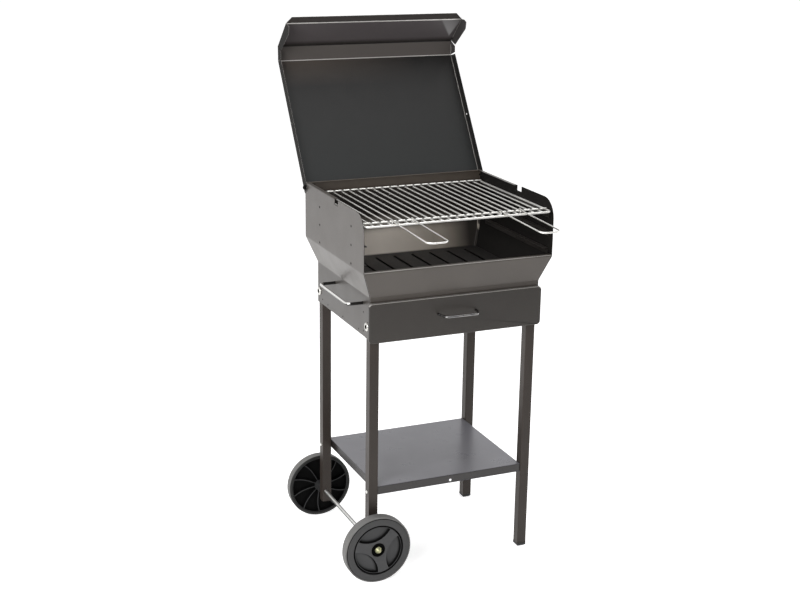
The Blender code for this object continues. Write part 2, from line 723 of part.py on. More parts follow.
def shelf():
    """Shelf between the legs: flat top with all four edges folded down."""
    half = LEG_INNER - GAP
    corners = [Vector((-half, SHELF_FRONT, SHELF_TOP)), Vector((half, SHELF_FRONT, SHELF_TOP)),
               Vector((half, SHELF_BACK, SHELF_TOP)), Vector((-half, SHELF_BACK, SHELF_TOP))]
    drop = AXIS_Z * SHELF_FLANGE
    faces = [corners]
    for i in range(4):
        a, b = corners[i], corners[(i + 1) % 4]
        faces.append([a - drop, b - drop, b, a])
    obj = add_object("shelf", folded(faces, SHEET), "paint")
    middle = Vector((0.0, SHELF_FRONT, SHELF_TOP - SHELF_SCREW_DROP))
    drill(obj, "hole", middle - AXIS_Y * RUN, middle + AXIS_Y * (SHEET + RUN), SHELF_HOLE)
    z = SHELF_TOP - SHELF_SCREW_DROP
    for side, label in ((1, "right"), (-1, "left")):
        for y, end in ((FRONT_LEG_Y, "front"), (BACK_LEG_Y, "back")):
            drill(obj, f"screw_{label}_{end}", Vector((side * (half + RUN), y, z)),
                  Vector((side * (half - SHEET - RUN), y, z)), SCREW + FIT)
    return obj


def wheel_shape():
    """Wheel about the Y axis with its outer face at y = -width."""
    profile = [
        (0.0, BACK_RIM_INNER + BACK_RIM_BEVEL),
        (0.0, WHEEL_RADIUS - BACK_SHOULDER),
        (BACK_SHOULDER, WHEEL_RADIUS),
        (WHEEL_WIDTH - TREAD_SHOULDER_DEPTH, WHEEL_RADIUS),
        (WHEEL_WIDTH - FACE_SHOULDER_DEPTH, WHEEL_RADIUS - FACE_SHOULDER),
        (WHEEL_WIDTH, FACE_RADIUS),
        (WHEEL_WIDTH, RING_INNER + RING_BEVEL),
        (WHEEL_WIDTH - SPOKE_SINK, RING_INNER),
        (WHEEL_WIDTH - SPOKE_SINK, HUB_RADIUS + HUB_BEVEL),
        (WHEEL_WIDTH - 2 * SPOKE_SINK, HUB_RADIUS),
        (WHEEL_WIDTH - 2 * SPOKE_SINK, AXLE + FIT),
        (-WHEEL_OFF_LEG + RUN, AXLE + FIT),
        (-WHEEL_OFF_LEG + RUN, HUB_RADIUS - HUB_TAPER[2]),
        (0.0, HUB_RADIUS - HUB_TAPER[1]),
        (WHEEL_WIDTH - POCKET_SINK - WEB, HUB_RADIUS - HUB_TAPER[0]),
        (WHEEL_WIDTH - POCKET_SINK - WEB, BACK_RIM_INNER),
    ]
    bm = bmesh.new()
    axis = -AXIS_Y
    side, up = frame_on(axis)
    rings = [ring(bm, axis * along, side, up, radius, WHEEL_SIDES)
             for along, radius in profile]
    for i in range(len(rings)):
        bridge(bm, rings[i], rings[(i + 1) % len(rings)])
    return face_out(bm)


def wheel_pockets():
    """Three pockets in the face, each bounded by a rim inside the ring and a hollow arc."""
    bm = bmesh.new()
    edge = RING_INNER - POCKET_RIM
    reach = edge * math.cos(POCKET_HALF_ANGLE)
    rise = edge * math.sin(POCKET_HALF_ANGLE)
    far = (edge ** 2 - POCKET_NEAR ** 2) / (2 * (reach - POCKET_NEAR))
    arc = far - POCKET_NEAR
    swing = math.asin(rise / arc)
    steps = 10
    for third in range(3):
        turn = POCKET_TURN + third * 2 * math.pi / 3
        flat = []
        for i in range(steps + 1):
            angle = POCKET_HALF_ANGLE * (2 * i / steps - 1)
            flat.append((edge * math.cos(angle), edge * math.sin(angle)))
        for i in range(1, steps):
            angle = swing * (1 - 2 * i / steps)
            flat.append((far - arc * math.cos(angle), arc * math.sin(angle)))
        outline = []
        for x, z in flat:
            outline.append(Vector((x * math.cos(turn) - z * math.sin(turn), 0.0,
                                   x * math.sin(turn) + z * math.cos(turn))))
        join(bm, prism(outline, Vector((0.0, -WHEEL_WIDTH - RUN, 0.0)),
                       Vector((0.0, POCKET_SINK + RUN, 0.0))))
    return bm


def wheel_back_ribs():
    """Curved ribs across the hollow back of the wheel."""
    bm = bmesh.new()
    depth = WHEEL_WIDTH - POCKET_SINK - WEB
    inner = HUB_RADIUS - BACK_RIB_INTO_HUB
    outer = BACK_RIM_INNER + BACK_RIB_INTO_RIM
    steps = 5
    for i in range(BACK_RIBS):
        start = BACK_RIB_TURN + 2 * math.pi * i / BACK_RIBS
        near, far = [], []
        for k in range(steps + 1):
            share = k / steps
            radius = inner + (outer - inner) * share
            angle = start + BACK_RIB_SWEEP * share * share
            half = BACK_RIB / 2 / radius
            near.append((radius, angle - half))
            far.append((radius, angle + half))
        outline = [Vector((r * math.cos(a), 0.0, r * math.sin(a))) for r, a in near + far[::-1]]
        join(bm, prism(outline, AXIS_Y * -BACK_RIB_SUNK,
                       AXIS_Y * (BACK_RIB_SUNK - depth - BACK_RIB_INTO_WEB)))
    return bm


def wheel(name, end, seat_y):
    """end is -1 at the front and +1 at the back; seat_y is the leg face it runs beside."""
    centre = Vector((-AXLE_X, seat_y + end * WHEEL_OFF_LEG, AXLE_Z))
    obj = add_object(name, wheel_shape(), "wheel", smooth=True)
    pockets = add_object(f"{name}_pockets", wheel_pockets(), None)
    ribs = add_object(f"{name}_ribs", wheel_back_ribs(), None)
    turn = 0.0 if end < 0 else math.pi
    for piece in (obj, pockets, ribs):
        piece.location = centre
        piece.rotation_euler = (0.0, 0.0, turn)
    use(obj, pockets, 'DIFFERENCE')
    use(obj, ribs, 'UNION')
    return obj


def axle_and_caps():
    front = LEG_FRONT - WHEEL_OFF_LEG - WHEEL_WIDTH
    back = LEG_BACK + WHEEL_OFF_LEG + WHEEL_WIDTH
    start = Vector((-AXLE_X, front - AXLE_END, AXLE_Z))
    length = back - front + 2 * AXLE_END
    profile = ((0.0, AXLE - AXLE_CHAMFER), (AXLE_CHAMFER, AXLE),
               (length - AXLE_CHAMFER, AXLE), (length, AXLE - AXLE_CHAMFER))
    add_object("axle", turned(start, AXIS_Y, profile, BOLT_SIDES), "zinc", smooth=True)
    for name, face, outward in (("hub_cap_front", front, -1), ("hub_cap_back", back, 1)):
        seat = Vector((-AXLE_X, face - outward * 2 * SPOKE_SINK + outward * GAP, AXLE_Z))
        depth = 2 * SPOKE_SINK + AXLE_END + GAP
        cap = [(0.0, AXLE + GAP), (0.0, HUB_CAP), (HUB_CAP_HEIGHT / 2, HUB_CAP * CAP_SIDE),
               (HUB_CAP_HEIGHT, HUB_CAP * CAP_TURN), (depth + HUB_CAP_CROWN, HUB_CAP * CAP_CROWN),
               (depth + HUB_CAP_TOP, HUB_CAP * CAP_TOP)]
        bm = bmesh.new()
        axis = AXIS_Y * outward
        across, up = frame_on(axis)
        rings = [ring(bm, seat + axis * along, across, up, radius, BOLT_SIDES)
                 for along, radius in cap]
        floor = ring(bm, seat + axis * depth, across, up, AXLE + GAP, BOLT_SIDES)
        for first, second in zip(rings, rings[1:]):
            bridge(bm, first, second)
        bm.faces.new(rings[-1])
        bridge(bm, rings[0], floor)
        bm.faces.new(floor)
        add_object(name, face_out(bm), "zinc", smooth=True)


# Fire side: grate, rails, grid
def grate():
    """Slotted plate that rests on the slopes of the side sheets."""
    plate = block(Vector((-GRATE_HALF, GRATE_FRONT, GRATE_BOTTOM)),
                  Vector((GRATE_HALF, GRATE_BACK, GRATE_BOTTOM + GRATE_SHEET)))
    obj = add_object("charcoal_grate", plate, "soot")
    bm = bmesh.new()
    half = SLOT_WIDTH / 2
    low = GRATE_FRONT + SLOT_MARGIN + half
    high = GRATE_BACK - SLOT_MARGIN - half
    steps = 6
    for i in range(SLOT_COUNT):
        x = (i - (SLOT_COUNT - 1) / 2) * SLOT_PITCH
        outline = []
        for centre, base in ((high, 0.0), (low, math.pi)):
            for k in range(steps + 1):
                angle = base + math.pi * k / steps
                outline.append(Vector((x + half * math.cos(angle),
                                       centre + half * math.sin(angle), 0.0)))
        join(bm, prism(outline, AXIS_Z * (GRATE_BOTTOM - RUN),
                       AXIS_Z * (GRATE_SHEET + 2 * RUN)))
    use(obj, add_object("charcoal_grate_slots", bm, None), 'DIFFERENCE')
    return obj


def rail(name, side, top):
    """Angle strip with two studs that pass through the side sheet."""
    outer = BODY_INNER_TOP - GAP
    hole_z = top - RAIL_ABOVE_HOLE
    low = hole_z - RAIL_BELOW_HOLE
    outline = [(outer, low), (outer, top), (outer - RAIL_SEAT, top),
               (outer - RAIL_SEAT, top - RAIL_SHEET), (outer - RAIL_SHEET, top - RAIL_SHEET),
               (outer - RAIL_SHEET, low)]
    points = [Vector((side * x, 0.0, z)) for x, z in outline]
    bm = prism(points, AXIS_Y * RAIL_FRONT, AXIS_Y * (RAIL_BACK - RAIL_FRONT))
    obj = add_object(name, bm, "paint_dark")
    studs = bmesh.new()
    for y in (RAIL_HOLE_BACK, RAIL_HOLE_FRONT):
        start = Vector((side * (outer - RAIL_SHEET / 2), y, hole_z))
        reach = BODY_HALF_TOP - GAP - (outer - RAIL_SHEET / 2)
        join(studs, turned(start, AXIS_X * side, ((0.0, RAIL_STUD), (reach, RAIL_STUD)),
                           HOLE_SIDES))
    use(obj, add_object(f"{name}_studs", studs, None), 'UNION')
    return obj


def grid():
    """Welded wire grid: bent frame rod, two bars, and rods from front to back."""
    back = GRID_BACK_BAR + GRID_BAR
    corners = [Vector((-GRID_HALF, back, GRID_Z)), Vector((-GRID_HALF, GRID_FRONT, GRID_Z)),
               Vector((GRID_HALF, GRID_FRONT, GRID_Z)), Vector((GRID_HALF, back, GRID_Z))]
    obj = add_object("cooking_grid", rod(rounded(corners, GRID_CORNER, FRAME_BEND), GRID_FRAME,
                                         WIRE_SIDES),
                     "chrome", origin=Vector((0.0, 0.0, GRID_Z)), smooth=True)
    bars = bmesh.new()
    for y in (EYE_Y, GRID_BACK_BAR):
        ends = [Vector((side * GRID_HALF, y, EYE_Z)) for side in (-1, 1)]
        join(bars, rod(ends, GRID_BAR, WIRE_SIDES))
    use(obj, add_object("cooking_grid_bars", bars, None), 'UNION')
    rods = bmesh.new()
    for i in range(GRID_RODS):
        x = (i - (GRID_RODS - 1) / 2) * GRID_PITCH
        ends = [Vector((x, GRID_FRONT, GRID_Z)),
                Vector((x, GRID_BACK_BAR + GRID_TIPS, GRID_Z))]
        join(rods, rod(ends, GRID_ROD, WIRE_SIDES))
    use(obj, add_object("cooking_grid_rods", rods, None), 'UNION')
    return obj


def wire_handle(name, side):
    """U of wire whose two eyes wrap the grid's inner bar. It turns about that bar."""
    axis = Vector((side * (WIRE_NEAR + WIRE_FAR) / 2, EYE_Y, EYE_Z))
    half = (WIRE_FAR - WIRE_NEAR) / 2

    def curl(x):
        points = []
        for i in range(CURL_STEPS + 1):
            angle = math.pi / 2 - WIRE_CURL * (1 - i / CURL_STEPS)
            points.append(Vector((x, EYE_RADIUS * math.cos(angle), EYE_RADIUS * math.sin(angle))))
        return points

    knee = [Vector((x, -GRID_INNER_BAR, WIRE_REST)) for x in (-half, half)]
    tips = [Vector((x, -WIRE_REACH, -WIRE_DROOP)) for x in (-half, half)]
    bend = rounded([knee[0], tips[0], tips[1], knee[1]], WIRE_CORNER, WIRE_BEND)
    path = curl(-half) + bend + curl(half)[::-1]
    bm = rod(path, WIRE, WIRE_SIDES)
    obj = add_object(name, bm, "chrome", smooth=True)
    obj.location = axis
    return obj


# Drawer
def drawer_front():
    """Face of the drawer: flat with rounded corners and its edge folded back all round."""
    steps = 4
    outline = []
    for cx, cz, base in ((1, 1, 0.0), (-1, 1, math.pi / 2), (-1, -1, math.pi),
                         (1, -1, 3 * math.pi / 2)):
        x = cx * (DRAWER_HALF - DRAWER_ROUND)
        z = (DRAWER_HIGH - DRAWER_ROUND) if cz > 0 else (DRAWER_LOW + DRAWER_ROUND)
        for i in range(steps + 1):
            angle = base + math.pi / 2 * i / steps
            outline.append(Vector((x + DRAWER_ROUND * math.cos(angle), DRAWER_FACE,
                                   z + DRAWER_ROUND * math.sin(angle))))
    back = AXIS_Y * DRAWER_FOLD
    count = len(outline)
    bm = bmesh.new()
    front = [bm.verts.new(v) for v in outline]
    rear = [bm.verts.new(v + back) for v in outline]
    bridge(bm, front, rear)
    bm.faces.new(front)
    middle = Vector((0.0, DRAWER_FACE, (DRAWER_LOW + DRAWER_HIGH) / 2))
    inner_front, inner_rear = [], []
    for i, point in enumerate(outline):
        before = (outline[i] - outline[i - 1]).normalized()
        after = (outline[(i + 1) % count] - outline[i]).normalized()
        inward = (before.cross(AXIS_Y) + after.cross(AXIS_Y)).normalized()
        if inward.dot(middle - point) < 0:
            inward.negate()
        spot = point + inward * SHEET
        inner_front.append(bm.verts.new(spot + AXIS_Y * SHEET))
        inner_rear.append(bm.verts.new(spot + back))
    bridge(bm, inner_front, inner_rear)
    bridge(bm, rear, inner_rear)
    bm.faces.new(inner_front)
    obj = add_object("drawer_front", face_out(bm), "paint_dark")
    pull_holes(obj)
    return obj


def pull_holes(obj):
    for side, label in ((-1, "left"), (1, "right")):
        spot = Vector((side * PULL_HALF, DRAWER_FACE, PULL_Z))
        drill(obj, f"pull_{label}", spot - AXIS_Y * RUN,
              spot + AXIS_Y * (SHEET + TRAY_SHEET + 2 * RUN), PULL_ROD + FIT, HOLE_SIDES)


def drawer_tray():
    """Open ash tray behind the drawer's face."""
    front = DRAWER_FACE + SHEET + GAP
    low, high = TRAY_BOTTOM, TRAY_BOTTOM + TRAY_HEIGHT
    base = [Vector((-TRAY_HALF, front, low)), Vector((TRAY_HALF, front, low)),
            Vector((TRAY_HALF, TRAY_BACK, low)), Vector((-TRAY_HALF, TRAY_BACK, low))]
    rise = AXIS_Z * (high - low)
    faces = [base[::-1]]
    for i in range(4):
        a, b = base[i], base[(i + 1) % 4]
        faces.append([a, b, b + rise, a + rise])
    obj = add_object("drawer_tray", folded(faces, TRAY_SHEET), "paint_dark")
    pull_holes(obj)
    return obj


def drawer_pull():
    inside = DRAWER_FACE + SHEET + TRAY_SHEET + 3 * RUN
    knee = DRAWER_FACE - PULL_STRAIGHT
    out = DRAWER_FACE - PULL_REACH
    half = [(PULL_HALF, inside), (PULL_HALF, knee), (PULL_BAR_HALF, out)]
    corners = [Vector((-x, y, PULL_Z)) for x, y in half]
    corners += [Vector((x, y, PULL_Z)) for x, y in half[::-1]]
    return add_object("drawer_pull", rod(rounded(corners, PULL_CORNER, BAR_BEND), PULL_ROD,
                                         BAR_SIDES), "chrome", smooth=True)


def carrying_handle():
    inside = -(BODY_INNER_LOW - CARRY_INSIDE)
    out = -(BODY_HALF_LOW + CARRY_REACH)
    corners = [Vector((inside, CARRY_BACK, CARRY_Z)), Vector((out, CARRY_BACK, CARRY_Z)),
               Vector((out, CARRY_FRONT, CARRY_Z)), Vector((inside, CARRY_FRONT, CARRY_Z))]
    return add_object("carrying_handle", rod(rounded(corners, CARRY_CORNER, BAR_BEND),
                                             CARRY_ROD, BAR_SIDES), "chrome", smooth=True)


# Lid
def lid_line():
    """Outer face of the shut lid in (y, z) about the hinge: tail, three creases, lip end."""
    top = LID_RISE + LID_SHEET
    points = [(LID_TAIL, top), (-LID_MAIN, top)]
    angle = 0.0
    for bend, length in ((LID_BEND_BAND, LID_BAND), (LID_BEND_FRONT, LID_FRONT),
                         (LID_BEND_LIP, LID_LIP)):
        angle += bend
        y, z = points[-1]
        points.append((y - length * math.cos(angle), z - length * math.sin(angle)))
    return [Vector((0.0, y, z)) for y, z in points]


def lid():
    line = lid_line()
    half = AXIS_X * LID_HALF
    faces = []
    bends = [0.0, LID_BEND_BAND, LID_BEND_FRONT, 0.0]
    for i in range(3):
        start, end = line[i], line[i + 1]
        along = (end - start).normalized()
        inward = Vector((0.0, along.z, -along.y))
        if inward.z > 0 or (i == 2 and inward.y < 0):
            inward.negate()
        near = start if i == 0 else start + along * LID_SLIT
        far = end - along * (LID_SLIT if i < 2 else 0.0)
        left = [start - half, near - half, far - half, end - half]
        right = [start + half, near + half, far + half, end + half]
        strip = left + right[::-1]
        faces.append([p for k, p in enumerate(strip) if p not in strip[:k]])
        deep = inward * LID_FLANGE
        lean_near = math.tan(bends[i] / 2) * LID_FLANGE
        lean_far = math.tan(bends[i + 1] / 2) * LID_FLANGE
        if i == 0:
            flange = hinge_end(near)
        else:
            flange = [near, near + deep + along * (lean_near + LID_SLIT)]
        if i < 2:
            flange += [far + deep - along * (lean_far + LID_SLIT), far]
        else:
            flange += [far + inward * LID_CHEEK,
                       far + inward * LID_CHEEK_TIP + along * LID_CHEEK_OVERHANG,
                       far + inward * LID_CHEEK_END + along * LID_CHEEK_END, far]
        faces.append([p + half for p in flange][::-1])
        faces.append([p - half for p in flange])
    chamfer = AXIS_X * LID_LIP_CHAMFER
    start, end = line[3], line[4]
    faces.append([start - half, end - half + chamfer, end + half - chamfer, start + half])
    bm = folded_two_sided(faces)
    obj = add_object("lid", bm, "paint_dark")
    obj.location = Vector((0.0, HINGE_Y, HINGE_Z))
    obj.rotation_euler = (-LID_OPEN, 0.0, 0.0)
    eyelet = (-LID_EYELET_ALONG, LID_RISE + LID_SHEET - LID_EYELET_IN)
    for side, label in ((1, "right"), (-1, "left")):
        for kind, (y, z), radius in (("hinge", (0.0, 0.0), SCREW + FIT),
                                     ("eyelet", eyelet, LID_EYELET)):
            bm = turned(Vector((side * (LID_HALF + RUN), y, z)), AXIS_X * -side,
                        ((0.0, radius), (LID_SHEET + 2 * RUN, radius)), SCREW_SIDES)
            hole = add_object(f"lid_{kind}_{label}", bm, None)
            hole.location = obj.location
            hole.rotation_euler = obj.rotation_euler
            use(obj, hole, 'DIFFERENCE')
    return obj


def hinge_end(near):
    """Back end of the lid's flange, rounded about the hinge."""
    points = [near]
    radius = LID_FLANGE - LID_RISE - LID_SHEET
    steps = 6
    for i in range(steps + 1):
        angle = math.pi / 2 * i / steps
        points.append(Vector((0.0, radius * math.cos(angle), -radius * math.sin(angle))))
    return points


def folded_two_sided(faces):
    """Folded sheet whose polygons may be listed in either sense: made consistent first."""
    bm = bmesh.new()
    for polygon in faces:
        bm.faces.new([bm.verts.new(point) for point in polygon])
    bmesh.ops.remove_doubles(bm, verts=bm.verts, dist=GAP / 10)
    bmesh.ops.recalc_face_normals(bm, faces=bm.faces)
    bm.faces.ensure_lookup_table()
    flat = max(bm.faces, key=lambda face: face.calc_area())
    if flat.normal.z < 0:
        bmesh.ops.reverse_faces(bm, faces=bm.faces)
    polygons = [[vert.co.copy() for vert in face.verts] for face in bm.faces]
    bm.free()
    return folded(polygons, LID_SHEET)


def hinge_set(side, label):
    seat = Vector((side * (LID_HALF + GAP), HINGE_Y, HINGE_Z))
    inward = AXIS_X * -side
    length = LID_HALF - BODY_INNER_TOP + NUT_HEIGHT + 2 * RUN
    screw(f"hinge_bolt_{label}", seat, inward, HINGE_HEAD, HINGE_HEAD_HEIGHT, SCREW, length,
          "blackened")
    start = Vector((side * (BODY_INNER_TOP - GAP), HINGE_Y, HINGE_Z))
    bm = turned(start, inward, ((0.0, NUT_RADIUS), (NUT_HEIGHT, NUT_RADIUS)), NUT_SIDES)
    nut = add_object(f"hinge_nut_{label}", bm, "zinc")
    drill(nut, "bore", start - inward * RUN, start + inward * (NUT_HEIGHT + RUN), SCREW + GAP)


def centre_outline():
    """Move every object by one offset so that the outline is centred on the origin."""
    bpy.context.view_layer.update()
    graph = bpy.context.evaluated_depsgraph_get()
    low = [math.inf] * 2
    high = [-math.inf] * 2
    for obj in bpy.data.objects:
        if obj.hide_render:
            continue
        shape = obj.evaluated_get(graph)
        for vert in shape.data.vertices:
            point = shape.matrix_world @ vert.co
            for axis in range(2):
                low[axis] = min(low[axis], point[axis])
                high[axis] = max(high[axis], point[axis])
    offset = Vector((-(low[0] + high[0]) / 2, -(low[1] + high[1]) / 2, 0.0))
    for obj in bpy.data.objects:
        obj.location += offset
    print("moved by", [round(value / MM, 3) for value in offset], "mm")


def build():
    clear_scene()
    side_panel("side_panel_left", -1)
    side_panel("side_panel_right", 1)
    back_panel()
    front_sheet()
    leg("leg_front_left", -1, FRONT_LEG_Y, LEFT_LEG_BOTTOM, False)
    leg("leg_back_left", -1, BACK_LEG_Y, LEFT_LEG_BOTTOM, True)
    leg("leg_front_right", 1, FRONT_LEG_Y, FOOT_HEIGHT + GAP, False)
    leg("leg_back_right", 1, BACK_LEG_Y, FOOT_HEIGHT + GAP, True)
    foot_cap("foot_front_right", FRONT_LEG_Y)
    foot_cap("foot_back_right", BACK_LEG_Y)
    shelf()
    for side, label in ((-1, "left"), (1, "right")):
        for y, end in ((FRONT_LEG_Y, "front"), (BACK_LEG_Y, "back")):
            screw(f"leg_bolt_{end}_{label}", Vector((side * BODY_HALF_LOW, y, LEG_BOLT_Z)),
                  AXIS_X * -side, LEG_BOLT_HEAD, LEG_BOLT_HEAD_HEIGHT, SCREW,
                  LEG_BOLT_LENGTH, "zinc", BOLT_SIDES)
            screw(f"shelf_screw_{end}_{label}",
                  Vector((side * LEG_OUTER, y, SHELF_TOP - SHELF_SCREW_DROP)),
                  AXIS_X * -side, SHELF_SCREW_HEAD, SHELF_SCREW_HEAD_HEIGHT, SCREW,
                  TUBE + SHELF_SCREW_END, "zinc")
        for i, rise in enumerate(BACK_SCREW_RISES):
            screw(f"back_screw_{label}_{i + 1}",
                  Vector((side * LEG_MID_X, BODY_BACK_LOW, BODY_BOTTOM + rise)),
                  -AXIS_Y, BACK_SCREW_HEAD, BACK_SCREW_HEAD_HEIGHT, SCREW, BACK_SCREW_LENGTH,
                  "blackened")
        hinge_set(side, label)
        for i, top in enumerate(RAIL_TOPS):
            rail(f"rail_{label}_{i + 1}", side, top)
    axle_and_caps()
    wheel("wheel_front", -1, LEG_FRONT)
    wheel("wheel_back", 1, LEG_BACK)
    carrying_handle()
    grate()
    grid()
    wire_handle("grid_handle_left", -1)
    wire_handle("grid_handle_right", 1)
    drawer_front()
    drawer_tray()
    drawer_pull()
    lid()
    centre_outline()


build()
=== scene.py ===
# %% [markdown]
# # A charcoal barbecue on a tall frame
#
# This notebook dresses a imported CAD model of a charcoal barbecue: folded sheet steel, legs of
# square tube, a welded wire grid, two moulded wheels. The CAD model gives every size. Each
# step first says what the real piece is, then makes it, or gives its surface a finish.
#
# We start by loading the imported model as a fixed frame. It is in metres, with Z up, +X to the
# right along the front and +Y to the back.

# %% Load the imported model
import json
import math

import bmesh
import bpy
from mathutils import Matrix, Vector


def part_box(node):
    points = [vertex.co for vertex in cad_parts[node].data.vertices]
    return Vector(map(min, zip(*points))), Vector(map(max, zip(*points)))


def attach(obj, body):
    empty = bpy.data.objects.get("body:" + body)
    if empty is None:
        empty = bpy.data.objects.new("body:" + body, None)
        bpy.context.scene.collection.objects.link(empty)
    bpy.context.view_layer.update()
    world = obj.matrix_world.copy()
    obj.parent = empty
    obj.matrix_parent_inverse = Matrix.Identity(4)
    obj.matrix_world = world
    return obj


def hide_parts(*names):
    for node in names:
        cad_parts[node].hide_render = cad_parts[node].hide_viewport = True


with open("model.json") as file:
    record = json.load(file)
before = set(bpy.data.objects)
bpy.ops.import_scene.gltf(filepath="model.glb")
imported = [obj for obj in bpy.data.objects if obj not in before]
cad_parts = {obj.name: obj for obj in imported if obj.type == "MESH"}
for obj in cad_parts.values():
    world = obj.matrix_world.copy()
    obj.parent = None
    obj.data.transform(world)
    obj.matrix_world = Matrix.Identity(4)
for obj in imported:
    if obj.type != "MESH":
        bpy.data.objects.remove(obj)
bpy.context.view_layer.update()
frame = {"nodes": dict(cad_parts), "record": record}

MM = 0.001
AXIS_Z = Vector((0.0, 0.0, 1.0))
print("nodes:", len(frame["nodes"]))

# %% [markdown]
# ## The middle of the body
#
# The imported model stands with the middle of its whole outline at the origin, handle and wheels
# included. It is easier to think from the middle of the sheet body, so we measure where that
# is from the two side sheets, and take further places from it.

# %% Measure the middle of the body
left_low, left_high = (Vector(corner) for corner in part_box("side_panel_left"))
right_high = Vector(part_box("side_panel_right")[1])
MIDDLE = Vector(((left_low.x + right_high.x) / 2, (left_low.y + left_high.y) / 2, 0.0))
print("middle of the body in mm:", [round(v / MM, 2) for v in MIDDLE])

# %% [markdown]
# ## The camera
#
# A product photograph is taken from a little above and to one side, with a longish lens. The
# camera's place was worked out from the outline of the object, so it is written down as a
# point, two angles, a small roll and a focal length. We build the matrix from its three axes
# instead of a Track To constraint, because a roll is easier to see that way.

# %% Place the camera
def link(obj):
    """Puts obj into the scene and gives it back."""
    bpy.context.scene.collection.objects.link(obj)
    return obj


CAMERA_PLACE = MIDDLE + Vector((-1.4654, -3.2172, 1.7181))
CAMERA_AZIMUTH = math.radians(-23.425)
CAMERA_HEIGHT = math.radians(16.565)
CAMERA_ROLL = math.radians(0.808)
FOCAL_PIXELS = 1398.95
IMAGE_WIDTH = 800
SENSOR = 36.0

backward = Vector((math.sin(CAMERA_AZIMUTH) * math.cos(CAMERA_HEIGHT),
                   -math.cos(CAMERA_AZIMUTH) * math.cos(CAMERA_HEIGHT),
                   math.sin(CAMERA_HEIGHT)))
level = (-backward).cross(AXIS_Z).normalized()
upright = level.cross(-backward)
rightward = level * math.cos(CAMERA_ROLL) + upright * math.sin(CAMERA_ROLL)
upward = upright * math.cos(CAMERA_ROLL) - level * math.sin(CAMERA_ROLL)
turn = Matrix((rightward, upward, backward)).transposed()

lens = bpy.data.cameras.new("camera")
lens.sensor_width = SENSOR
lens.lens = SENSOR * FOCAL_PIXELS / IMAGE_WIDTH
camera = link(bpy.data.objects.new("camera", lens))
camera.matrix_world = Matrix.Translation(CAMERA_PLACE) @ turn.to_4x4()
bpy.context.scene.camera = camera
bpy.context.scene.view_settings.view_transform = "Standard"
print("lens in mm:", round(lens.lens, 2))

# %% [markdown]
# ## Nodes written as sums
#
# Shader trees get long. Two small classes keep them readable. `Wire` wraps one socket, so that
# a sum such as `1 - mask * 0.5` adds the Math nodes by itself. `Tree` adds any other node:
# its settings come first, then the values or links of its sockets.

# %% The two node classes
class Wire:
    """One output socket. An operator adds a Math node and gives the wire of its result."""

    def __init__(self, tree, socket):
        self.tree = tree
        self.socket = socket

    def maths(self, operation, *values):
        return self.tree.node("ShaderNodeMath", {"operation": operation},
                              dict(enumerate(values)))

    def __add__(self, other):
        return self.maths("ADD", self, other)

    def __sub__(self, other):
        return self.maths("SUBTRACT", self, other)

    def __rsub__(self, other):
        return self.maths("SUBTRACT", other, self)

    def __mul__(self, other):
        return self.maths("MULTIPLY", self, other)

    def __truediv__(self, other):
        return self.maths("DIVIDE", self, other)

    def most(self, other):
        """The larger of the two."""
        return self.maths("MAXIMUM", self, other)

    def above(self, limit, softness):
        """0 below limit and 1 above it, over a width of softness."""
        return self.tree.node("ShaderNodeMapRange", {"clamp": True}, {
            "Value": self, "From Min": limit - softness / 2, "From Max": limit + softness / 2})

    __radd__ = __add__
    __rmul__ = __mul__


class Tree:
    """A node tree that is being written."""

    def __init__(self, nodes, links):
        self.nodes = nodes
        self.links = links

    def node(self, kind, settings=None, sockets=None, out=None):
        made = self.nodes.new(kind)
        for key, value in (settings or {}).items():
            setattr(made, key, value)
        for key, value in (sockets or {}).items():
            self.plug(self.find(made.inputs, key), value)
        return Wire(self, self.find(made.outputs, out))

    def find(self, sockets, key):
        if isinstance(key, int):
            return sockets[key]
        return next(s for s in sockets if s.enabled and key in (None, s.name))

    def plug(self, socket, value):
        if isinstance(value, Wire):
            self.links.new(value.socket, socket)
        else:
            socket.default_value = value


# %% [markdown]
# ## A finish is a material with a few named parts
#
# Every finish below starts the same way: a Principled shader, and Object coordinates, which
# are the model's own metres because every mesh sits at the origin. So a noise of scale 900
# has grains of about a millimetre. `Finish` adds the noise, the mixing of two colours and the
# bump, which every surface uses. Each material is kept in `finishes` under its name.

# %% The Finish class
def linear(code):
    """A colour such as '8c8883', as seen on screen, in the linear values that a shader reads."""
    values = [int(code[i:i + 2], 16) / 255 for i in (0, 2, 4)]
    return tuple(v / 12.92 if v <= 0.04045 else ((v + 0.055) / 1.055) ** 2.4
                 for v in values) + (1.0,)


finishes = {}


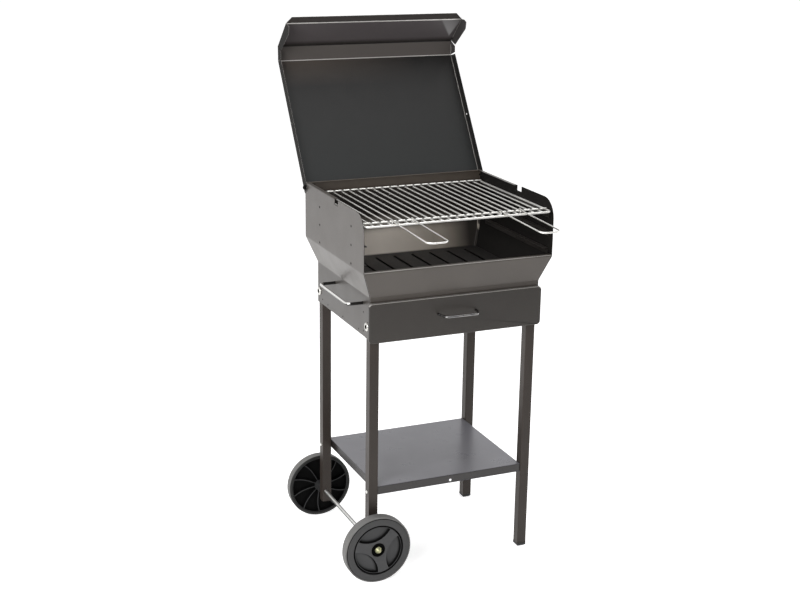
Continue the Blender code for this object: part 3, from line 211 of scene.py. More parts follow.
class Finish(Tree):
    """A Principled material whose patterns are measured in the model's metres."""

    def __init__(self, name, **constants):
        finishes[name] = bpy.data.materials.new(name)
        finishes[name].use_nodes = True
        tree = finishes[name].node_tree
        super().__init__(tree.nodes, tree.links)
        self.shader = tree.nodes["Principled BSDF"]
        for key, value in constants.items():
            self.shader.inputs[key.replace("_", " ")].default_value = value
        self.place = self.node("ShaderNodeTexCoord", out="Object")

    def noise(self, scale, detail=2.0):
        return self.node("ShaderNodeTexNoise", sockets={
            "Vector": self.place, "Scale": scale, "Detail": detail})

    def axis(self, name):
        return self.node("ShaderNodeSeparateXYZ", sockets={"Vector": self.place}, out=name)

    def aside(self):
        """How far to the right of the body's middle a point lies."""
        return self.axis("X") - MIDDLE.x

    def facing(self, name):
        """One component of the surface's own direction, from -1 to 1."""
        normal = self.node("ShaderNodeTexCoord", out="Normal")
        return self.node("ShaderNodeSeparateXYZ", sockets={"Vector": normal}, out=name)

    def outward(self):
        """Over 0 on a surface that faces away from the body's middle, under 0 towards it."""
        return self.facing("X") * self.aside()

    def sideways(self):
        """1 on a surface that faces left or right."""
        across = self.facing("X")
        return across.maths("ABSOLUTE", across).above(0.3, 0.2)

    def mark(self, name):
        """A number that the mesh carries on its points."""
        return self.node("ShaderNodeAttribute", {"attribute_name": name}, out="Fac")

    def blend(self, share, first, second):
        return self.node("ShaderNodeMix", {"data_type": "RGBA", "clamp_factor": True},
                         {"Factor": share, "A": first, "B": second})

    def coats(self, tone, *coats):
        """Lays one colour after the other over tone, each with its own share."""
        for share, code in coats:
            tone = self.blend(share, tone, linear(code))
        return tone

    def bump(self, height, distance, strength):
        return self.node("ShaderNodeBump", sockets={
            "Height": height, "Distance": distance, "Strength": strength})

    def set(self, **wires):
        for key, wire in wires.items():
            self.plug(self.shader.inputs[key.replace("_", " ")], wire)

    def cover(self, share, colour, deep, rough, specular):
        """A duller second skin over the first, wherever share is 1. It paints shade on most
        finishes, and dark ends on the rails.
        """
        skin = self.nodes.new("ShaderNodeBsdfPrincipled")
        skin.inputs["Roughness"].default_value = rough
        skin.inputs["Specular IOR Level"].default_value = specular
        mottle = self.noise(40.0, 3.0)
        self.plug(skin.inputs["Base Color"], self.blend(mottle, linear(colour), linear(deep)))
        self.show(share, skin.outputs[0])

    def show(self, share, second):
        """The material is this one's shader, and second wherever share is 1."""
        both = self.nodes.new("ShaderNodeMixShader")
        self.plug(both.inputs[0], share)
        self.links.new(self.shader.outputs[0], both.inputs[1])
        self.links.new(second, both.inputs[2])
        self.links.new(both.outputs[0], self.nodes["Material Output"].inputs["Surface"])


# %% [markdown]
# ## Painted sheet steel
#
# The body, legs, shelf and lid are sprayed with the same kind of paint: a dark charcoal powder
# coat with a satin shine, so that a face seen at a slant is much paler than one seen straight
# on. Close up it is not flat. The powder melts into a fine orange-peel skin, some flakes stay
# lighter, and hands leave faint satin patches. So the paint mixes two close colours with a
# broad noise, adds pale flecks with a fine one, and gives roughness and bump their own scale.

# %% The paint
def paint(name, colour, deep, rough, metal=0.15, specular=0.6, tint=None, shade_and_dark_ends=None):
    """Powder coat that wanders between two colours. The last two arguments change it from place to
    place: a tint, which on several finishes paints light and shade, and a dull dark skin, which is
    painted shade and, on the rails, their dark ends.
    """
    finish = Finish(name, Specular_IOR_Level=specular, Metallic=metal)
    clouds = finish.noise(7.0, 3.0)
    grains = finish.noise(650.0, 2.0)
    flecks = finish.noise(1900.0, 1.0).above(0.63, 0.06)
    tone = finish.blend(clouds.above(0.5, 0.5), linear(colour), linear(deep))
    tone = finish.blend(grains.above(0.5, 0.6) * 0.25, tone, linear(deep))
    tone = finish.coats(tone, (flecks * 0.05, "c9c2b8"))
    if tint:
        tone = tint(finish, tone)
    patches = finish.noise(16.0, 4.0)
    peel = finish.bump(grains, 0.12 * MM, 0.35)
    finish.set(Base_Color=tone, Normal=peel,
               Roughness=patches * 0.16 + grains * 0.08 + (rough - 0.12))
    if shade_and_dark_ends:
        # The dull dark skin is painted shade on the side sheets' inner faces and the lid's cheeks;
        # on the rails it darkens their outer ends.
        finish.cover(shade_and_dark_ends(finish), "161412", "0e0c0b", 0.7, 0.2)


# %% [markdown]
# Light and shade are painted into the paint round the fire. The side sheets carry a dull dark
# skin of painted shade on their inner faces and front edges, and the lid on the outer faces of
# its cheeks; the rails' outer ends get the same skin. The back sheet is painted pale on the left
# as painted light, and dark to the right, below the grate and behind the grid, and brown above
# it, as painted shade, with a painted highlight along one seam. The lid is painted another tone
# from fold to fold towards its front edge, as painted light and shade, and one corner there
# carries a painted reflection.

# %% Tints of the fire box, the rails and the shelf
# Places across are measured from the body's middle, and heights from the floor.
PALE_UNTIL = 0.05
DARK_FROM = 0.195
SEAM_ASIDE = 0.2515
SEAM_HEIGHT = 0.811
SEAM_LEAN = 0.135
SEAM_HALF = 1.4 * MM
COALS_HEIGHT = 0.753
SHADE_HEIGHT = 0.845
BROWN_HEIGHT = 0.945
WAIST_HEIGHT = 0.748


def inner_faces(finish):
    """The side sheets' inner faces and front edges, where a dull dark skin paints shade."""
    front_edge = finish.facing("Y").above(-0.75, -0.1)
    return front_edge.most(finish.outward().above(-0.03, -0.02))


# The outer faces of the lid's cheeks, which get a dull dark skin as painted shade.
def outer_cheeks(finish):
    return finish.outward().above(0.08, 0.05)


# The rails' outer ends, which get the same dull dark skin.
def outer_ends(finish):
    return finish.outward().above(0.2, 0.02)


def back_wall_light(finish, tone):
    """Painted light and shade: pale on the left, dark on the right, a painted highlight along the
    seam, and a band for each height.
    """
    waver = finish.noise(9.0, 3.0) * 0.03
    height = finish.axis("Z") + waver
    across = finish.axis("X") + waver
    off = finish.axis("X") + (SEAM_HEIGHT - finish.axis("Z")) * SEAM_LEAN
    off = off - (MIDDLE.x + SEAM_ASIDE)
    seam_highlight = off.above(-SEAM_HALF, 1.0 * MM) * off.above(SEAM_HALF, -1.0 * MM)
    # Painted light on the left; painted shade on the right, below the grate, behind the grid and,
    # in brown, above it; a painted highlight along the seam. The last coat is the outer face's
    # charcoal paint.
    return finish.coats(tone, (across.above(MIDDLE.x + PALE_UNTIL, -0.16), "f6ece0"),
                        (across.above(MIDDLE.x + DARK_FROM, 0.08) * 0.96, "1f1b18"),
                        (seam_highlight * 0.9, "b5aca1"),
                        (finish.axis("Z").above(COALS_HEIGHT, -0.004), "14110f"),
                        (height.above(SHADE_HEIGHT, 0.05), "2a2420"),
                        (height.above(BROWN_HEIGHT, 0.02), "4f473f"),
                        (finish.facing("Y").above(0.3, 0.2), "4a4541"))


def shaded_foot(finish, tone):
    """The lower part of the side sheets is a little darker."""
    return finish.coats(tone, (finish.axis("Z").above(WAIST_HEIGHT, -0.006) * 0.7, "37332f"))


# Every face of the shelf but the top is painted dark: painted shade.
def shaded_flanges(finish, tone):
    return finish.blend(finish.facing("Z").above(0.6, 0.4), linear("211d1c"), tone)


# Painted highlight on the top of the drawer's folds, painted shade on their ends.
def lit_top_edge(finish, tone):
    return finish.coats(tone, (finish.sideways(), "141211"),
                        (finish.facing("Z").above(0.3, 0.2), "a6a39f"))


# The rails' top faces are painted lighter: a painted highlight.
def lit_rail_tops(finish, tone):
    return finish.coats(tone, (finish.facing("Z").above(0.3, 0.2), "33302e"))


# %% Tints of the lid
LID_CREASES = (1.2530, 1.2926, 1.3590)
DULL_HEIGHT = 1.08
UPPER_LEFT_HEIGHT = 1.222
GLINT_TOP = 1.355
GLINT_SLOPES = (0.955, 0.24)
GLINT_ENDS = (0.2, 0.2546)


def lid_fold_light(finish, tone):
    """Inside, each fold is painted its own tone as painted light and shade, the lower part is
    greyer, the upper left is a lighter brown, and one corner carries a painted reflection.
    """
    height = finish.axis("Z")
    aside = finish.aside()
    inside = finish.facing("Y").above(-0.3, -0.2)
    low, middle, high = (height.above(z, 0.002) for z in LID_CREASES)
    upper_left_patch = height.above(UPPER_LEFT_HEIGHT, 0.07) * aside.above(0.0, -0.3)
    drop = GLINT_TOP - height
    glint = (aside - drop * GLINT_SLOPES[0]).above(GLINT_ENDS[0], 6.0 * MM)
    glint = glint * (aside + drop * GLINT_SLOPES[1]).above(GLINT_ENDS[1], -4.0 * MM)
    glint = glint * middle * inside
    # Inside, the tone of each fold is painted light and shade, and the bright corner patch is a
    # painted reflection.
    return finish.coats(tone, (height.above(DULL_HEIGHT, -0.3) * inside, "242626"),
                        (upper_left_patch * inside, "4b443f"),
                        (low * inside, "534e4b"),
                        (middle * inside, "262220"),
                        (height.above(LID_CREASES[1] + 0.009, 0.012) * inside, "565152"),
                        (glint * (drop * 12.0 + 0.35), "a3a2a2"),
                        (high * inside, "2f2b29"),
                        (finish.outward().above(-0.08, -0.05) * low, "403d3d"))


def shaded_crease(finish, tone):
    """The pale paint on the lid's creases is a painted highlight. The middle crease is closed and
    painted dark as shade, and the crease faces that look sideways or to the back are darker.
    """
    height = finish.axis("Z")
    middle = LID_CREASES[1]
    closed = height.above(middle - 0.01, 0.004) * height.above(middle + 0.01, -0.004)
    return finish.coats(tone, (finish.sideways(), "5d5a57"),
                        (finish.facing("Y").above(0.0, 0.3), "3b3938"), (closed, "151313"))


# %% The painted finishes
paint("body_paint", "4c4640", "443e39", 0.34, 0.2)
# The side sheets: a darker foot and a dull dark skin on their inner faces, both painted shade.
paint("side_paint", "524d48", "4a4541", 0.34, 0.2, 0.6, shaded_foot, inner_faces)
# The back sheet's pale colour stands for painted light; its tint paints light and shade over it.
paint("back_paint", "aba296", "9d9489", 0.42, 0.1, tint=back_wall_light)
paint("drawer_paint", "37332f", "302c29", 0.40, 0.1, 0.5)
paint("leg_paint", "3c3530", "342e2a", 0.46, 0.1, 0.3)
paint("shelf_paint", "7a797f", "6f6e74", 0.30, tint=shaded_flanges)
paint("rail_paint", "24211f", "1c1a18", 0.4, 0.1, 0.4, lit_rail_tops, outer_ends)
# The lid: painted light and shade from fold to fold inside, and painted shade on the cheeks' outer
# faces.
paint("lid_paint", "1e1d1d", "191818", 0.50, 0.0, 0.3, lid_fold_light, outer_cheeks)
# Pale paint on the folds of the sloping sheet: a painted highlight.
paint("fold_highlight_paint", "a6a39f", "8f8c88", 0.3, 0.4)
paint("drawer_fold_highlight_paint", "45413c", "3d3935", 0.4, 0.1, 0.5, lit_top_edge)
# Pale paint on the lid's creases: a painted highlight.
paint("lid_fold_highlight_paint", "d8d5d1", "c4c1bd", 0.3, 0.4, tint=shaded_crease)
paint("grate_paint", "151210", "0f0d0c", 0.6, 0.0, 0.25)
print("painted finishes:", [name for name in finishes if name.endswith("paint")])

# %% [markdown]
# ## Bright wire, zinc and plastic
#
# The cooking grid is drawn wire with a bright plated skin: a metal with a low roughness that
# changes a little along the wire. Zinc plating on nuts and bolts is greyer, and on the hub
# caps it is a dull yellow. The wheels are moulded plastic, black with a fine spark-eroded
# grain. The tyre is grey with a paler bloom in patches, and its side faces are painted darker
# as shade.

# %% Metals
def turned_rod(finish, tone):
    """Painted shade along the underside of the axle, and a greyer painted reflection along its
    back.
    """
    across = finish.facing("X") * 0.74 + finish.facing("Z") * 0.67
    return finish.coats(tone, (across.above(-0.4, -0.25) * 0.95, "30302f"),
                        (across.above(0.55, 0.2) * 0.8, "80807e"))


def plated(name, colour, shade, rough, drift, metal=1.0, tint=None):
    """Bright metal, with cloudy roughness and faint drawing lines."""
    finish = Finish(name, Metallic=metal)
    clouds = finish.noise(60.0, 3.0)
    fine = finish.noise(900.0, 2.0)
    tone = finish.blend(clouds.above(0.52, 0.35), linear(colour), linear(shade))
    if tint:
        tone = tint(finish, tone)
    finish.set(Base_Color=tone, Roughness=clouds * drift + fine * 0.06 + rough,
               Normal=finish.bump(fine, 0.03 * MM, 0.4))


plated("chrome_wire", "f4f3f0", "e2e0db", 0.20, 0.14)
plated("dark_chrome", "8d8b89", "757476", 0.04, 0.08)
plated("zinc", "d8d8d4", "bfbeb9", 0.1, 0.1)
plated("axle_steel", "efefed", "dcdcd8", 0.25, 0.1, 0.4, turned_rod)
plated("yellow_zinc", "a6a27f", "8c8e70", 0.2, 0.16)
plated("blackened_screw", "1c1b1a", "141312", 0.45, 0.12)
print("metals:", [name for name in finishes if not name.endswith("paint")])

# %% Plastics
def moulded(name, colour, bloom, share, rough, scale=1100.0, tint=None, hollow=None):
    """Moulded plastic with a fine grain and a pale bloom that lies in patches."""
    finish = Finish(name, Specular_IOR_Level=0.4)
    grain = finish.noise(scale, 2.0)
    clouds = finish.noise(26.0, 4.0)
    tone = finish.blend(clouds.above(0.5, 0.5) * share, linear(colour), linear(bloom))
    tone = finish.coats(tone, ((1.0 - grain.above(0.42, 0.2)) * 0.18, "242424"))
    if tint:
        tone = tint(finish, tone)
    finish.set(Base_Color=tone, Roughness=clouds * 0.12 + grain * 0.08 + (rough - 0.1),
               Normal=finish.bump(grain, 0.1 * MM, 0.5))
    if hollow:
        # The hollows get a black skin: painted shade.
        finish.cover(hollow(finish), "080808", "040404", 0.8, 0.1)


# The wheel's tints are measured on its points: out from the leg side, and from the axle.
FACE_OUT = 24.4 * MM
FACE_RADIUS = 63.4 * MM
POCKET_FLOOR = (13.5 * MM, 16.2 * MM)
RIB_EDGE = 2.6 * MM
TYRE_FACE_OUT = 26.0 * MM
GROOVE_RADIUS = 85.7 * MM
GROOVE_OUT = (1.0 * MM, 25.9 * MM)
SEAT_RADIUS = 68.0 * MM
TYRE_BACK = 1.4 * MM


def disc_hollow(finish):
    """1 in every hollow and in the groove by the tyre, less on the edges of the ribs behind. There
    the disc is painted black as shade.
    """
    out = finish.mark("out")
    face = out.above(FACE_OUT, 0.8 * MM) * finish.mark("radius").above(FACE_RADIUS, -0.6 * MM)
    floor_near, floor_far = POCKET_FLOOR
    pocket_floor = out.above(floor_far, -2.4 * MM) * out.above(floor_near, 0.6 * MM)
    return (1.0 - face.most(pocket_floor)) * (1.0 - out.above(RIB_EDGE, -0.8 * MM) * 0.7)


def tyre_tint(finish, tone):
    """The side faces are painted darker than the rolled surface, as painted shade. The back is
    darker, and the groove and the seat by the disc are painted black, as shade.
    """
    out, radius = finish.mark("out"), finish.mark("radius")
    near, far = GROOVE_OUT
    sunk = radius.above(GROOVE_RADIUS, -0.3 * MM) * out.above(far, -0.3 * MM)
    sunk = sunk * out.above(near, 0.5 * MM)
    by_disc = radius.above(SEAT_RADIUS, -0.6 * MM)
    return finish.coats(tone, (out.above(TYRE_FACE_OUT, 0.4 * MM) * 0.85, "2f2f30"),
                        (out.above(TYRE_BACK, -0.8 * MM), "1f1f1e"),
                        (sunk.most(by_disc), "080808"))


moulded("wheel_plastic", "3a3a3b", "434344", 0.6, 0.42, hollow=disc_hollow)
moulded("tyre_plastic", "676665", "7e7d7b", 0.8, 0.55, 500.0, tint=tyre_tint)
moulded("foot_plastic", "1d1d1e", "2a2a2b", 0.5, 0.5)
print("plastics:", [name for name in finishes if name.endswith("plastic")])

# %% [markdown]
# ## Every CAD node gets its finish
#
# The record says which material slot each node belongs to. A CAD node is never moved and its
# mesh is never changed: only its material slot is filled.

# %% Give each node the material of its slot
slot_of = {part["node"]: part["material_slot"] for part in frame["record"]["subparts"]}
for name, obj in frame["nodes"].items():
    obj.data.materials.clear()
    obj.data.materials.append(finishes["axle_steel" if name == "axle" else slot_of[name]])
print("nodes by slot:", {slot: list(slot_of.values()).count(slot)
                         for slot in sorted(set(slot_of.values()))})

# %% [markdown]
# ## Pieces that stand for CAD nodes
#
# A new piece keeps the place of the node that it stands for. `add_piece` links the mesh, gives
# it its finish, lets it ride on the node's body and hides the node. Where two pieces stand for
# one node, as the tyre and the disc of a wheel do, only the first one hides it.

# %% Piece helper
body_name = {node: body for body, nodes in
             frame["record"]["behaviour"]["bodies"].items() for node in nodes}


def add_piece(name, mesh, slot, node, hides=True, look=None):
    """A mesh in metres that rides on its node's body. look is a finish other than the slot's."""
    obj = link(bpy.data.objects.new(name, mesh))
    mesh.materials.clear()
    mesh.materials.append(finishes[look or slot])
    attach(obj, body_name[node])
    if hides:
        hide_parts(node)
    return obj


def mesh_of(name, bm, smooth=None):
    """A mesh from bm, with its normals out. smooth is the angle under which edges shade soft."""
    bmesh.ops.recalc_face_normals(bm, faces=bm.faces)
    mesh = bpy.data.meshes.new(name)
    bm.to_mesh(mesh)
    bm.free()
    if smooth:
        mesh.shade_smooth()
        mesh.set_sharp_from_angle(angle=math.radians(smooth))
    return mesh


print("bodies with nodes:", sorted(set(body_name.values())))

# %% [markdown]
# ## Wire along a path
#
# Handles and the grid's outer frame are one wire bent to a path. Geometry Nodes does this in
# three steps: the path's edges become a curve, a circle is swept along it, and the material is
# set. The tree has named inputs, so one tree serves every wire. A bevelled curve object would
# do as well, but a tree can later be edited without touching the paths.

# %% A tree that sweeps a wire
def applied(obj):
    """The plain mesh that obj's modifiers make."""
    bpy.context.view_layer.update()
    graph = bpy.context.evaluated_depsgraph_get()
    return bpy.data.meshes.new_from_object(obj.evaluated_get(graph))


class Shape(Tree):
    """A Geometry Nodes tree with named inputs."""

    def __init__(self, name, **inputs):
        self.group = bpy.data.node_groups.new(name, "GeometryNodeTree")
        super().__init__(self.group.nodes, self.group.links)
        face = self.group.interface
        face.new_socket("Geometry", in_out="OUTPUT", socket_type="NodeSocketGeometry")
        self.identifiers = {}
        for label, kind in inputs.items():
            made = face.new_socket(label, in_out="INPUT", socket_type="NodeSocket" + kind)
            self.identifiers[label] = made.identifier
        entry = self.nodes.new("NodeGroupInput")
        self.given = {label: Wire(self, entry.outputs[label]) for label in inputs}

    def end(self, geometry):
        real = self.node("GeometryNodeRealizeInstances", sockets={"Geometry": geometry})
        painted = self.node("GeometryNodeSetMaterial", sockets={
            "Geometry": real, "Material": self.given["Material"]})
        leave = self.nodes.new("NodeGroupOutput")
        self.links.new(painted.socket, leave.inputs["Geometry"])

    def grow(self, mesh, **values):
        """The plain mesh that this tree makes from mesh with these input values."""
        holder = link(bpy.data.objects.new("holder", mesh))
        modifier = holder.modifiers.new("shape", "NODES")
        modifier.node_group = self.group
        for label, value in values.items():
            modifier[self.identifiers[label]] = value
        grown = applied(holder)
        holder.modifiers.clear()
        bpy.data.objects.remove(holder)
        return grown


wire_tree = Shape("wire along a path", Path="Geometry", Radius="Float", Sides="Int",
                  Material="Material")
given = wire_tree.given
circle = wire_tree.node("GeometryNodeCurvePrimitiveCircle", {"mode": "RADIUS"},
                        {"Resolution": given["Sides"], "Radius": given["Radius"]})
path = wire_tree.node("GeometryNodeMeshToCurve", sockets={"Mesh": given["Path"]})
wire_tree.end(wire_tree.node("GeometryNodeCurveToMesh", sockets={
    "Curve": path, "Profile Curve": circle, "Fill Caps": True}))


def rounded(points, radius, steps=8):
    """The polyline through points with its inner corners turned into arcs."""
    path = [points[0]]
    for before, corner, after in zip(points, points[1:], points[2:]):
        one = (before - corner).normalized()
        two = (after - corner).normalized()
        half = one.angle(two) / 2
        centre = corner + (one + two).normalized() * (radius / math.sin(half))
        start = corner + one * (radius / math.tan(half)) - centre
        end = corner + two * (radius / math.tan(half)) - centre
        sweep = start.angle(end)
        for i in range(steps + 1):
            share = i / steps
            path.append(centre + (start * math.sin((1 - share) * sweep)
                                  + end * math.sin(share * sweep)) / math.sin(sweep))
    path.append(points[-1])
    return path


def wire(paths, radius, sides=16):
    """One mesh of wires, each along its own list of points."""
    mesh = bpy.data.meshes.new("paths")
    points = [tuple(point) for line in paths for point in line]
    edges = []
    start = 0
    for line in paths:
        edges += [(start + i, start + i + 1) for i in range(len(line) - 1)]
        start += len(line)
    mesh.from_pydata(points, edges, [])
    swept = wire_tree.grow(mesh, Radius=radius, Sides=sides, Material=finishes["chrome_wire"])
    bm = bmesh.new()
    bm.from_mesh(swept)
    bmesh.ops.remove_doubles(bm, verts=bm.verts, dist=0.01 * MM)
    return mesh_of("wire", bm, 35)


# %% [markdown]
# ## The cooking grid
#
# The grid is a frame of 6 mm rod bent to a U, two cross bars, and 21 rods of 4 mm from front
# to back, spot welded where they cross. The rods repeat at one pitch, so a second tree copies
# one rod along a line of points. The inner bar lies on the axis round which the two handles
# fold, which the record gives, and the rest of the grid is placed from there.

# %% Grid rods by Geometry Nodes
GRID_PITCH = 22.9 * MM
GRID_RODS = 21
GRID_ROD = 2.0 * MM
GRID_BAR = 2.5 * MM
GRID_FRAME = 3.0 * MM
GRID_WELD = 0.3 * MM
GRID_CORNER = 14.0 * MM
GRID_INNER_BAR = 25.0 * MM
GRID_TIPS = 10.0 * MM

grid_high = Vector(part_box("cooking_grid")[1])
fold_joint = next(joint for joint in frame["record"]["behaviour"]["joints"]
                  if joint["name"] == "grid_handle_left_fold")
_, EYE_Y, EYE_Z = fold_joint["pos_m"]
GRID_Z = EYE_Z - GRID_ROD - GRID_BAR + GRID_WELD
GRID_FRONT = EYE_Y - GRID_INNER_BAR
GRID_BACK_BAR = grid_high.y - GRID_TIPS
GRID_HALF = GRID_PITCH * (GRID_RODS + 1) / 2

rod_tree = Shape("rods at a pitch", Rod="Geometry", Pitch="Float", Count="Int",
                 Start="Vector", Radius="Float", Sides="Int", Material="Material")
given = rod_tree.given
step = rod_tree.node("ShaderNodeCombineXYZ", sockets={"X": given["Pitch"]})
spots = rod_tree.node("GeometryNodeMeshLine", {"mode": "OFFSET"}, {
    "Count": given["Count"], "Start Location": given["Start"], "Offset": step})
circle = rod_tree.node("GeometryNodeCurvePrimitiveCircle", {"mode": "RADIUS"},
                       {"Resolution": given["Sides"], "Radius": given["Radius"]})
path = rod_tree.node("GeometryNodeMeshToCurve", sockets={"Mesh": given["Rod"]})
one_rod = rod_tree.node("GeometryNodeCurveToMesh", sockets={
    "Curve": path, "Profile Curve": circle, "Fill Caps": True})
rod_tree.end(rod_tree.node("GeometryNodeInstanceOnPoints", sockets={
    "Points": spots, "Instance": one_rod}))

rod_line = bpy.data.meshes.new("rod line")
rod_line.from_pydata([(0.0, GRID_FRONT, GRID_Z), (0.0, GRID_BACK_BAR + GRID_TIPS, GRID_Z)],
                     [(0, 1)], [])
rods = rod_tree.grow(rod_line, Pitch=GRID_PITCH, Count=GRID_RODS,
                     Start=(MIDDLE.x - GRID_PITCH * (GRID_RODS - 1) / 2, 0.0, 0.0),
                     Radius=GRID_ROD, Sides=12, Material=finishes["chrome_wire"])
print("rods:", GRID_RODS, "with", len(rods.polygons), "faces in all")

# %% [markdown]
# Each cross bar is painted dark where a rod crosses it, which leaves a row of dark marks along
# each bar, one per rod: painted shade where the wires cross.

# %% Plated wire with painted shade at the crossings
def grid_wire_finish():
    finish = Finish("grid_wire", Metallic=0.6)
    clouds = finish.noise(60.0, 3.0)
    tone = finish.blend(clouds.above(0.52, 0.35), linear("f6f5f2"), linear("e6e4df"))
    place = finish.aside() / GRID_PITCH
    nearest = place.maths("PINGPONG", place, 0.5)
    on_bar = finish.axis("Z").above(EYE_Z + 0.4 * MM, 0.8 * MM)
    crossing_shade = (1.0 - nearest.above(0.14, 0.08)) * on_bar
    # Painted shade: the undersides of the wires, and each bar where a rod crosses it.
    tone = finish.coats(tone, (finish.facing("Z").above(-0.25, -0.3) * 0.8, "33302d"),
                        (crossing_shade * 0.85, "1d1916"))
    finish.set(Base_Color=tone, Roughness=clouds * 0.14 + crossing_shade * 0.3 + 0.26)


grid_wire_finish()

# %% Frame rod and bars, joined with the rods
back_end = GRID_BACK_BAR + GRID_BAR
left, right = MIDDLE.x - GRID_HALF, MIDDLE.x + GRID_HALF
frame_corners = [(left, back_end), (left, GRID_FRONT), (right, GRID_FRONT), (right, back_end)]
frame_path = rounded([Vector((x, y, GRID_Z)) for x, y in frame_corners], GRID_CORNER)
bars = [[Vector((left, y, EYE_Z)), Vector((right, y, EYE_Z))] for y in (EYE_Y, GRID_BACK_BAR)]


def merged(meshes):
    """One bmesh of several meshes."""
    bm = bmesh.new()
    for mesh in meshes:
        bm.from_mesh(mesh)
    return bm


grid_mesh = mesh_of("grid", merged([rods, wire([frame_path], GRID_FRAME),
                                    wire(bars, GRID_BAR)]), 35)
add_piece("grid_wires", grid_mesh, "chrome_wire", "cooking_grid", look="grid_wire")
print("grid triangles:", sum(len(p.vertices) - 2 for p in grid_mesh.polygons))

# %% [markdown]
# ## The wire handles of the grid
#
# Each handle is a U of wire. Both ends curl round the grid's inner bar, so that the handle
# can fold back over the grid. It is the same kind of path as the frame, with two more curls.

# %% Two folding handles
WIRE = 2.0 * MM
WIRE_NEAR = 5.25 * GRID_PITCH
WIRE_FAR = 7.62 * GRID_PITCH
WIRE_REACH = 216.3 * MM
WIRE_CORNER = 17.0 * MM
WIRE_DROOP = 4.5 * MM
WIRE_CURL = math.radians(285.0)
EYE_RADIUS = GRID_BAR + 0.3 * MM + WIRE
WIRE_REST = GRID_Z + GRID_FRAME + 0.3 * MM + WIRE - EYE_Z


def eye(axis, x):
    """The curl round the bar, from its free end to where the wire leaves it."""
    points = []
    for i in range(25):
        angle = math.pi / 2 - WIRE_CURL * (1 - i / 24)
        points.append(axis + Vector((x, EYE_RADIUS * math.cos(angle),
                                     EYE_RADIUS * math.sin(angle))))
    return points


for side, label in ((-1, "left"), (1, "right")):
    axis = Vector((MIDDLE.x + side * (WIRE_NEAR + WIRE_FAR) / 2, EYE_Y, EYE_Z))
    half = (WIRE_FAR - WIRE_NEAR) / 2
    knee = [axis + Vector((x, -GRID_INNER_BAR, WIRE_REST)) for x in (-half, half)]
    tips = [axis + Vector((x, -WIRE_REACH, -WIRE_DROOP)) for x in (-half, half)]
    bend = rounded([knee[0], tips[0], tips[1], knee[1]], WIRE_CORNER)
    line = eye(axis, -half) + bend + eye(axis, half)[::-1]
    add_piece(f"folding_handle_{label}", wire([line], WIRE), "chrome_wire",
              f"grid_handle_{label}")
print("handle reach in mm:", WIRE_REACH / MM)

# %% [markdown]
# ## The pull of the drawer and the carrying handle
#
# Both are round bars bent to a wide U whose ends go through the sheet.

# %% Two bent bars
pull_low, pull_high = (Vector(corner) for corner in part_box("drawer_pull"))
PULL_ROD = (pull_high.z - pull_low.z) / 2
pull_z = (pull_low.z + pull_high.z) / 2
PULL_HALF = (pull_high.x - pull_low.x) / 2 - PULL_ROD
PULL_BAR_HALF = 43.5 * MM
PULL_STRAIGHT = 29.0 * MM
PULL_BEND = 9.0 * MM
out = pull_low.y + PULL_ROD
half = [(PULL_HALF, pull_high.y), (PULL_HALF, out + PULL_STRAIGHT), (PULL_BAR_HALF, out)]
corners = [Vector((MIDDLE.x - x, y, pull_z)) for x, y in half]
corners += [Vector((MIDDLE.x + x, y, pull_z)) for x, y in half[::-1]]
pull_path = rounded(corners, PULL_BEND)
add_piece("drawer_bar", wire([pull_path], PULL_ROD, 20), "dark_chrome", "drawer_pull")

carry_low, carry_high = (Vector(corner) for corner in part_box("carrying_handle"))
CARRY_ROD = (carry_high.z - carry_low.z) / 2
CARRY_BEND = 12.0 * MM
carry_z = (carry_low.z + carry_high.z) / 2
x0, x1 = carry_high.x, carry_low.x + CARRY_ROD
y0, y1 = carry_low.y + CARRY_ROD, carry_high.y - CARRY_ROD


def carry_finish():
    """Bright on top of the long bar, and painted dark below it and on the two arms: a painted dark
    reflection.
    """
    finish = Finish("carry_chrome", Metallic=0.9)
    clouds = finish.noise(60.0, 3.0)
    tone = finish.blend(clouds, linear("f4f3f1"), linear("dddcd9"))
    below = finish.facing("Z").above(0.1, -0.3)
    arms = finish.axis("X").above(x1 + 7.0 * MM, 4.0 * MM)
    tone = finish.coats(tone, (below.most(arms) * 0.97, "1b1917"))
    finish.set(Base_Color=tone, Roughness=clouds * 0.1 + arms * 0.3 + 0.1)


carry_finish()
carry_corners = [(x0, y0), (x1, y0), (x1, y1), (x0, y1)]
carry_path = rounded([Vector((x, y, carry_z)) for x, y in carry_corners], CARRY_BEND)
add_piece("carrying_bar", wire([carry_path], CARRY_ROD, 20), "dark_chrome",
          "carrying_handle", look="carry_chrome")
print("bars in mm:", round(2 * PULL_ROD / MM, 2), round(2 * CARRY_ROD / MM, 2))

# %% [markdown]
# ## Folded sheets with real edges
#
# The CAD sheets have knife-sharp folds, but a press brake leaves a radius of about the sheet's
# own thickness, and that radius draws a thin light line along each fold. We copy only the
# points and triangles of the sheet, since the shading stored with them would show as streaks,
# merge them into flat faces, and let a Bevel modifier round them. Edge weights tell the edges
# apart: a fold gets its full radius, its inner side a little less, a cut edge only a touch.

# %% Round the folds and break the cut edges
FOLD_RADIUS = 2.2 * MM
INNER_SHARE = 0.8
CUT_SHARE = 0.13


